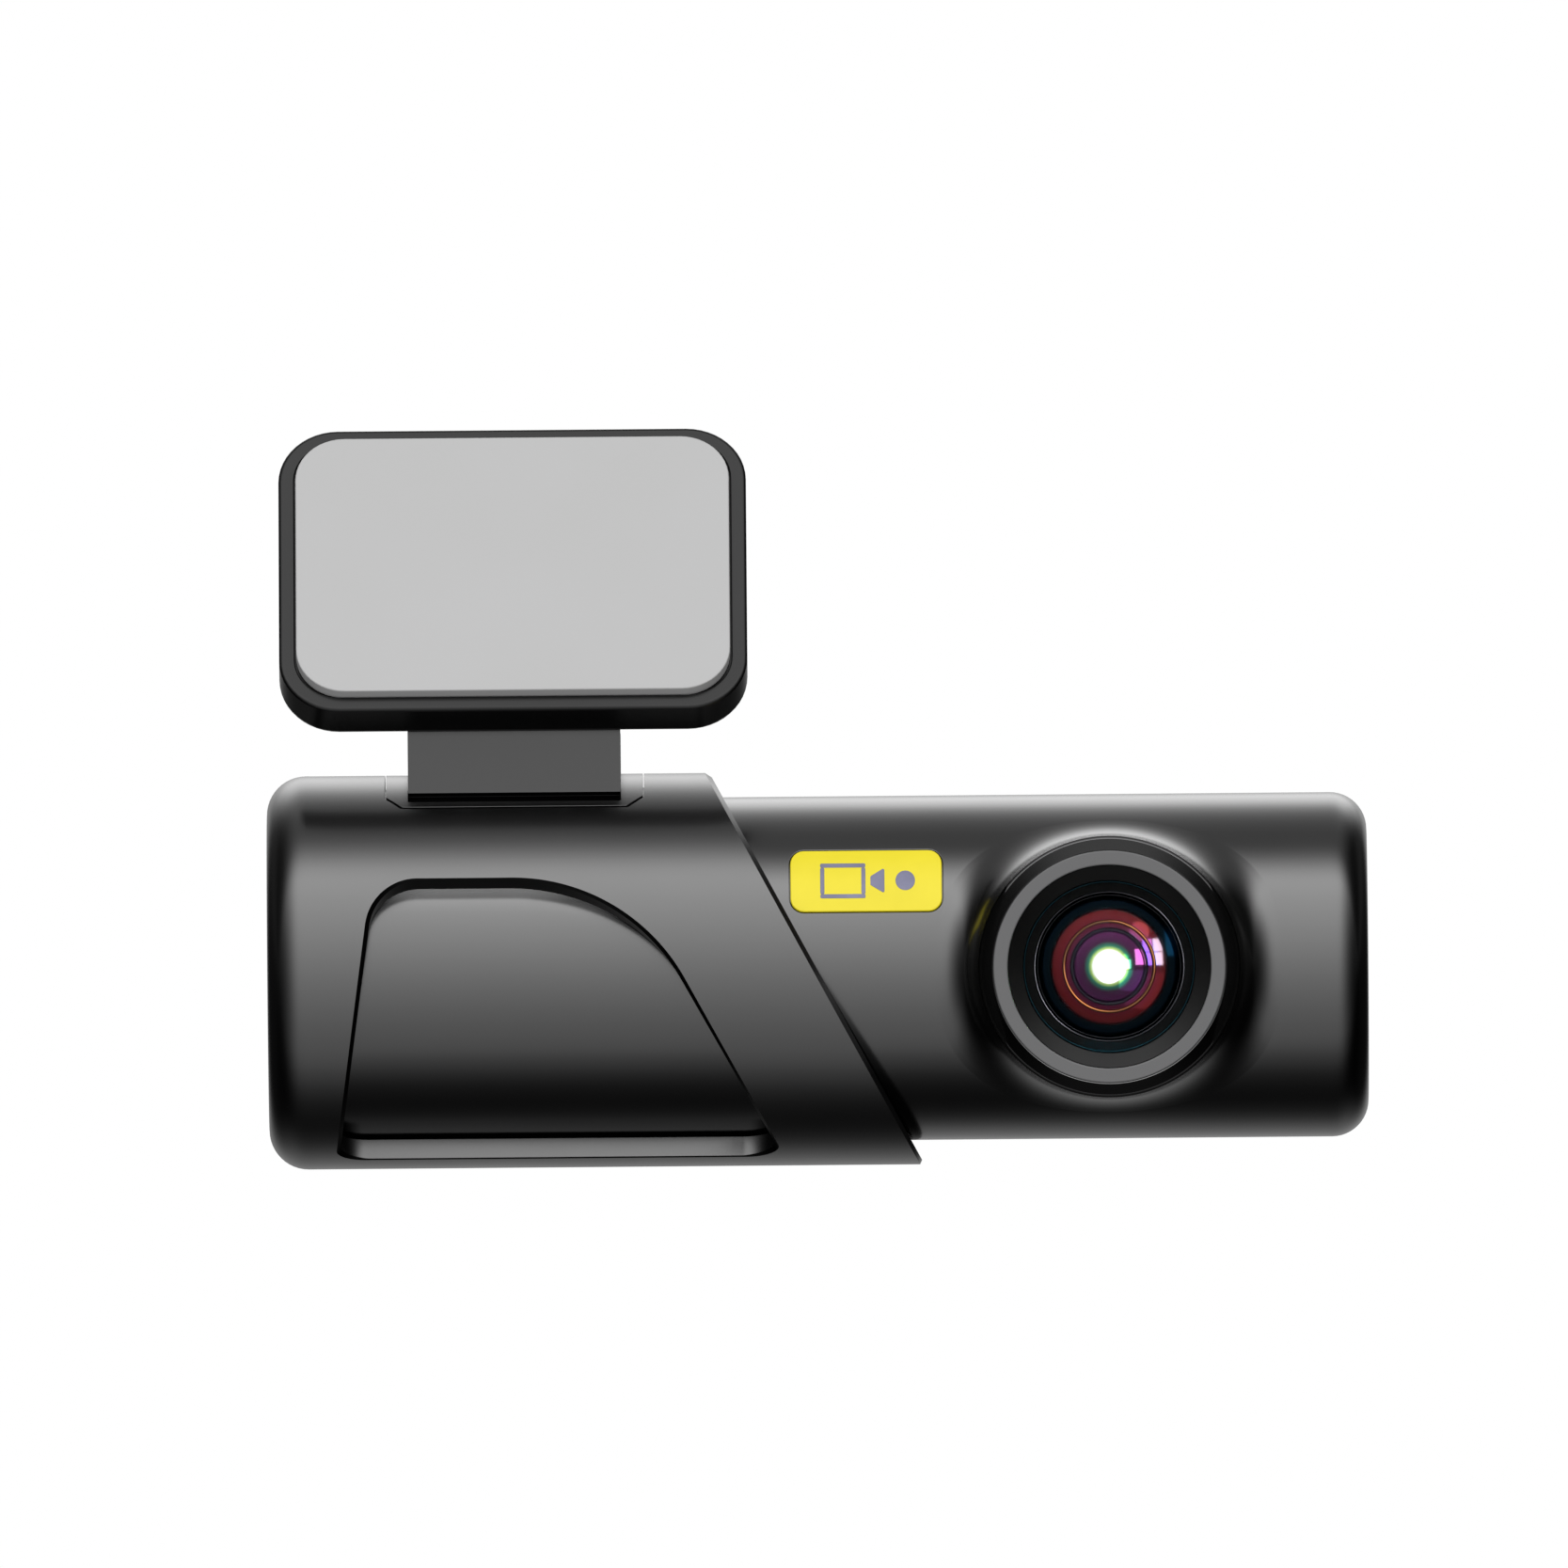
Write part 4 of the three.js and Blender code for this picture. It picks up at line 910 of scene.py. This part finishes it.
def element(name, edge_y, rho, r_out, r_in, look, replaces):
    """A ring or disc of coated glass with a domed front."""
    front = dome(edge_y, rho, r_out, r_in)
    bore = [front[-1]] if r_in > 0 else []
    spans = [front, *crisp(*bore, (ELEMENT_BACK, r_in), (ELEMENT_BACK, r_out), front[0])]
    lens_piece(name, spans, "lens_glass", look, replaces)


def lip(name, y, r, thick, look):
    """A thin rounded ring at the edge of an element."""
    lens_piece(name, [arc(y, r, thick, 90, 450, 16)], "lens_black", look)


def lens_stack():
    """What shows inside the trim ring: hood, front glass, and the coated elements behind it."""
    front, foot = BOSS_FRONT + 0.35, BOSS_FRONT + 1.4
    back, hood_r = foot + 0.5, BORE_R - 0.06
    hood = crisp(
        (front, hood_r), (foot, HOOD_IN_R), (back, HOOD_IN_R), (back, hood_r), (front, hood_r))
    lens_piece("hood_cone", hood, "lens_black", replaces=["lens_hood"])
    front_y, back_y = TUBE_FACE - 0.3, TUBE_FACE - 0.1
    lens_piece("front_glass", [
        dome(front_y, 14.0, GLASS_R, 0), [(front_y, GLASS_R), (back_y, GLASS_R)],
        dome(back_y, 15.5, GLASS_R, 0),
    ], "lens_glass", replaces=["front_element"])
    tube_back = TUBE_FACE + 2
    tube = crisp(
        (TUBE_FACE, GLASS_R), (TUBE_FACE, TUBE_R), (tube_back, TUBE_R), (tube_back, GLASS_R),
        (TUBE_FACE, GLASS_R))
    lens_piece("tube_face", tube, "lens_black", "tube_black", ["retaining_ring"])
    element("second_element_ring", -11.6, 30.0, TUBE_R, THIRD_R, "coating_teal", ["second_element"])
    element("third_element_ring", -11.8, 18.0, THIRD_R, REAR_R, "coating_red", ["third_element"])
    element("rear_element_dome", -11.8, 10.0, REAR_R, 0, "coating_purple", ["rear_element"])
    lip("edge_lip", TUBE_FACE - 0.1, 6.95, 0.07, "lip_teal")
    lip("tube_lip", TUBE_FACE, TUBE_R, 0.09, "lip_grey")
    lip("second_lip", TUBE_FACE + 0.2, 5.85, 0.05, "lip_grey")
    lip("gold_lip", -12.15, 3.7, 0.15, "lip_gold")
    lip("inner_lip", -12.15, 3.05, 0.07, "lip_grey")


# ---------------- lamps for single pieces

def turned_up(across, up):
    """The direction at two angles, in radians, from the way that the lens looks."""
    return Vector((math.sin(across) * math.cos(up), -math.cos(across) * math.cos(up), math.sin(up)))


def softbox(name, spot, way, distance, size, level, receivers, color=(1, 1, 1), roll=0.0, spread=math.pi):
    """A lamp for some pieces only, with nothing between it and them. It stands off a spot, in metres, and
    level is its brightness. A square one is made round."""
    data = bpy.data.lights.new(name, "AREA")
    data.size, data.size_y = size
    data.shape = "ELLIPSE" if size[0] == size[1] else "RECTANGLE"
    data.color, data.spread = color, spread
    data.energy = level * math.pi * size[0] * size[1] * (math.pi / 4 if data.shape == "ELLIPSE" else 1)
    thing = linked(name, data)
    facing = way.to_track_quat("Z", "Y").to_matrix().to_4x4()
    thing.matrix_world = Matrix.Translation(spot + way * distance) @ facing @ Matrix.Rotation(roll, 4, "Z")
    thing.visible_camera = False
    group = bpy.data.collections.new(name + "_receivers")
    for piece in receivers:
        group.objects.link(bpy.data.objects[piece])
    thing.light_linking.receiver_collection = group
    nothing = bpy.data.collections.new(name + "_blockers")
    nothing.objects.link(bpy.data.objects["floor"])
    thing.light_linking.blocker_collection = nothing


def lens_light(name, across, up, spread_across, spread_up, level, color, *receivers):
    """A lamp at angles in degrees across and up from the lens axis, which spreads over so many degrees."""
    size = [2 * LENS_LIGHT_AWAY * math.tan(math.radians(angle) / 2) for angle in (spread_across, spread_up)]
    way = turned_up(math.radians(across), math.radians(up))
    softbox(name, Vector(to_row([LENS_X, -12, 0])), way, LENS_LIGHT_AWAY, size, level, receivers, color)


def lens_lights():
    """Lamps that show in the coated elements: a round one in front, a window to the right, and small ones."""
    rear, third = "rear_element_dome", "third_element_ring"
    lens_light("lens_disc", 0, -3.5, 26, 26, 4, (1, 1, 1), rear)
    for column, across, level, color in ((0, 22.5, 110, (0.1, 0.55, 1)), (1, 28.5, 260, (0.06, 0.95, 1))):
        for row, up in enumerate((4, 11.5)):
            pane = f"{column}{row}"
            lens_light("window_outer_" + pane, across, up, 5.2, 7, level, color, third)
            lens_light("window_inner_" + pane, across + 7, up + 1, 6, 7.5, 40, (0.7, 1, 0.75), rear)
    lens_light("lens_arc", 33, 15, 6, 44, 140, (1, 1, 1), "tube_lip")
    lens_light("lens_gold", 26, 24, 40, 50, 9, (1, 0.9, 0.8), "gold_lip")
    lens_light("lens_red", 18.5, 19.5, 11, 11, 15, (0.33, 1, 0.8), third)
    lens_light("lens_bump", 18, 2, 8, 9, 12, (0.9, 1, 0.85), rear)
    lens_light("lens_green", 17, 9, 6, 6, 3, (0.3, 1, 0.6), rear)
    lens_light("lens_purple", 24, -14, 26, 20, 2, (0.5, 1, 1), third, rear)
    lens_light("lens_blue", 22.5, 8, 3, 9, 16, (0.15, 0.7, 1), "second_element_ring")
    lens_light("lens_teal", 3, -58, 36, 7, 6, (0.1, 0.8, 1), "front_glass")


def window_light(name, span, height, elevations, level, slope=0.0):
    """A lamp that fills the shade under the window's edge, where the barrel shows over a span of x at a
    height. It covers some elevations, in degrees."""
    low, high = (math.radians(angle) for angle in elevations)
    spot = to_row([sum(span) / 2, -math.sqrt(BARREL_R ** 2 - height ** 2), height])
    size = ((span[1] - span[0]) / math.cos(slope) * MM, WINDOW_LIGHT_AWAY * (high - low))
    softbox(name, Vector(spot), turned_up(0, (low + high) / 2), WINDOW_LIGHT_AWAY, size, level,
            ["barrel_body"], roll=-slope, spread=WINDOW_LIGHT_SPREAD)


# ---------------- mount plate

PLATE_TURN = np.array(Matrix.Rotation(math.pi / 2 - PLATE_LEAN, 3, "X"))


def on_plate(points):
    """Points drawn on the plate (x across, y up it, z out of the adhesive face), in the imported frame."""
    return (np.asarray(points, float) @ PLATE_TURN.T) * MM


def plate_ring(width, height, corner, inset, z):
    """A rounded rectangle drawn on the plate, at an inset from its edge."""
    rows = []
    w, h, r = width / 2 - inset, height / 2 - inset, max(corner - inset, 0.05)
    for k, (i, j) in enumerate(((1, 1), (-1, 1), (-1, -1), (1, -1))):
        rows += [(x, y, z) for x, y in arc(i * (w - r), j * (h - r), r, 90 * k, 90 * k + 90, 12)]
    return np.array(rows)


def framed(skin, width, height, corner, spans, caps):
    """Runs profiles of (inset, z) round a rounded rectangle, and closes it with flat caps at (inset, z)."""
    for span in spans:
        skin.grid([plate_ring(width, height, corner, inset, z) for inset, z in span])
    for inset, z in caps:
        ring = plate_ring(width, height, corner, inset, z)
        skin.patch(ring, np.tile([0, 0, 1], (len(ring), 1)), [list(range(len(ring)))])


def mount_plate():
    front, back = -PAD_PROUD, -PAD_PROUD - PLATE_T
    back_round, front_round, lead_in = 0.7, 0.3, 0.1
    pocket = (PLATE_W - PAD_W) / 2 - 0.1
    floor_z = -PAD_T - 0.1
    skin = Skin()
    framed(skin, PLATE_W, PLATE_H, PLATE_CORNER, [
        arc(back_round, back + back_round, back_round, 270, 180, 6),
        [(0, back + back_round), (0, front - front_round)],
        arc(front_round, front - front_round, front_round, 180, 90, 6),
        *crisp((front_round, front), (pocket - lead_in, front), (pocket, front - lead_in), (pocket, floor_z)),
    ], [(back_round, back), (pocket, floor_z)])
    body = skin.build("plate_body", on_plate, PLATE_TURN)
    finished(body, "plate", "mount_black", replaces=["mount_plate"])

    pad, edge = Skin(), 0.12
    framed(pad, PAD_W, PAD_H, PAD_CORNER, [
        arc(edge, -edge, edge, 90, 180, 4),
        [(0, -edge), (0, -PAD_T)],
    ], [(edge, 0), (0, -PAD_T)])
    face = pad.build("adhesive_pad_fine", on_plate, PLATE_TURN)
    finished(face, "plate", "adhesive_grey", replaces=["adhesive_pad"])


def plate_ears():
    """The two hinge ears on the plate's back."""
    arm = HINGE + AXIS
    y = arm[1] * math.sin(PLATE_LEAN) + arm[2] * math.cos(PLATE_LEAN)
    z = -arm[1] * math.cos(PLATE_LEAN) + arm[2] * math.sin(PLATE_LEAN)
    outline = lug(y, z, EAR_R, -PAD_PROUD - PLATE_T + 0.6)
    for side, name in ((-1, "plate_ear_left"), (1, "plate_ear_right")):
        low, high = sorted((side * EAR_FROM, side * EAR_TO))
        ear = prism(name, outline, low, high, 0.3, on_plate)
        finished(ear, "plate", "mount_black", replaces=["mount_plate"])


# ---------------- light, floor and camera

# brightness of the studio by elevation in degrees: 0 is in front of the lens, 90 overhead, 180 behind
STUDIO = [
    (-180, 0.45), (-152, 0.41), (-137, 0.31), (-125, 0.15), (-114, 0.06), (-100, 0.03), (-90, 0.045),
    (-80, 0.09), (-70, 0.25), (-61, 0.45), (-53, 0.70), (-33, 0.96), (-14, 1.31), (1, 1.68), (16, 2.1),
    (32, 2.54), (43, 2.84), (52, 3.1), (58, 3.28), (64, 2.86), (69, 2.15), (74, 1.42), (78, 0.9), (83, 0.57),
    (88, 0.38), (99, 0.36), (112, 0.46), (119, 0.6), (126, 0.88), (135, 1.55), (147, 2.25), (164, 1.1),
    (180, 0.45),
]
STUDIO_TOP = 3.5  # above the brightest level
# how it fades towards the two sides, by the sideways part of the direction
SIDE_FADE = [
    (0.0, 1.0), (0.3, 0.99), (0.45, 0.9), (0.58, 0.68), (0.71, 0.42), (0.81, 0.24), (0.9, 0.11), (1.0, 0.03),
]
BACK_NARROWING, NARROW_FROM = 0.75, -0.2  # the fade starts sooner behind
RIGHT_NARROWING = 1.04  # and a little sooner on the right
FLOOR_DROP, FLOOR_HALF = 69, 450
VIEW_CENTRE = np.array([-2.64, 0, 15.14])
VIEW_DISTANCE, VIEW_WIDTH = 6000, 128.4
VIEW_ROLL = math.radians(-0.49)


def studio_light():
    """A white backdrop for the camera, and for the rest a soft studio that brightens and fades by angle."""
    world = bpy.data.worlds.new("studio")
    bpy.context.scene.world = world
    world.use_nodes = True
    tree = world.node_tree
    tree.nodes.clear()

    def math_node(operation, a, b):
        return add_node(tree, "Math", {0: a, 1: b}, operation).outputs[0]

    def lookup(points, value):
        node = add_node(tree, "FloatCurve", {"Value": value})
        curve = node.mapping.curves[0]
        while len(curve.points) < len(points):
            curve.points.new(0.5, 0.5)
        for point, spot in zip(curve.points, points):
            point.location = spot
            point.handle_type = "AUTO_CLAMPED"
        node.mapping.update()
        return node.outputs[0]

    way = add_node(tree, "TexCoord", {}).outputs["Generated"]
    x, y, z = add_node(tree, "SeparateXYZ", {0: way}).outputs
    elevation = math_node("ARCTAN2", z, math_node("MULTIPLY", y, -1.0))
    turnwise = math_node("ADD", math_node("MULTIPLY", elevation, 0.5 / math.pi), 0.5)
    height = lookup([((angle + 180) / 360, level / STUDIO_TOP) for angle, level in STUDIO], turnwise)
    behind = math_node("MAXIMUM", math_node("SUBTRACT", y, NARROW_FROM), 0.0)
    narrowing = math_node("ADD", math_node("MULTIPLY", behind, BACK_NARROWING), 1.0)
    right, left = math_node("MULTIPLY", x, RIGHT_NARROWING), math_node("MULTIPLY", x, -1.0)
    sideways = math_node("MULTIPLY", math_node("MAXIMUM", right, left), narrowing)
    fade = lookup(SIDE_FADE, math_node("MINIMUM", sideways, 1.0))
    level = math_node("MULTIPLY", math_node("MULTIPLY", height, fade), STUDIO_TOP)
    white = {"Color": (1, 1, 1, 1)}
    glow = add_node(tree, "Background", {**white, "Strength": level}).outputs[0]
    backdrop = add_node(tree, "Background", white).outputs[0]
    to_camera = add_node(tree, "LightPath", {}).outputs["Is Camera Ray"]
    choice = add_node(tree, "MixShader", {0: to_camera, 1: glow, 2: backdrop}).outputs[0]
    add_node(tree, "OutputWorld", {0: choice})


def floor():
    """A plain pale floor well below the camera, which hangs from its windscreen plate."""
    level = sleeve_low[2] - FLOOR_DROP
    mesh = bpy.data.meshes.new("floor")
    corners = [tuple(to_row([i * FLOOR_HALF, j * FLOOR_HALF, level])) for i, j in CORNERS]
    mesh.from_pydata(corners, [], [(0, 1, 2, 3)])
    thing = linked("floor", mesh)
    pale = Finish("floor_pale", (0.94, 0.94, 0.94), 0.9)
    thing.data.materials.append(pale.vary_color(8, (0.93, 0.93, 0.93), (0.95, 0.95, 0.95)).material)
    thing.visible_glossy = False
    thing.visible_diffuse = False


def camera():
    data = bpy.data.cameras.new("camera")
    data.sensor_width = 36
    data.lens = data.sensor_width * VIEW_DISTANCE / VIEW_WIDTH
    data.clip_start, data.clip_end = 0.1, 40
    thing = linked("camera", data)
    spot = to_row(VIEW_CENTRE + [0, -VIEW_DISTANCE, 0])
    facing = Matrix.Rotation(math.pi / 2, 4, "X") @ Matrix.Rotation(VIEW_ROLL, 4, "Z")
    thing.matrix_world = Matrix.Translation(spot) @ facing
    bpy.context.scene.camera = thing


def main():
    bpy.context.scene.view_settings.view_transform = "Standard"
    make_materials()
    dress_cad_nodes()
    camera()
    studio_light()
    floor()
    cradle_sleeve()
    mount_foot()
    mount_neck()
    mount_plate()
    plate_ears()
    barrel_shell()
    badge()
    trim_ring()
    lens_stack()
    lens_lights()
    window_light("window_light", (-35, -20), 6.5, (56, 72), 10)
    window_light("window_corner_light", (-20.8, -15.6), 5.2, (45.5, 55), 3.1, math.radians(32))


main()
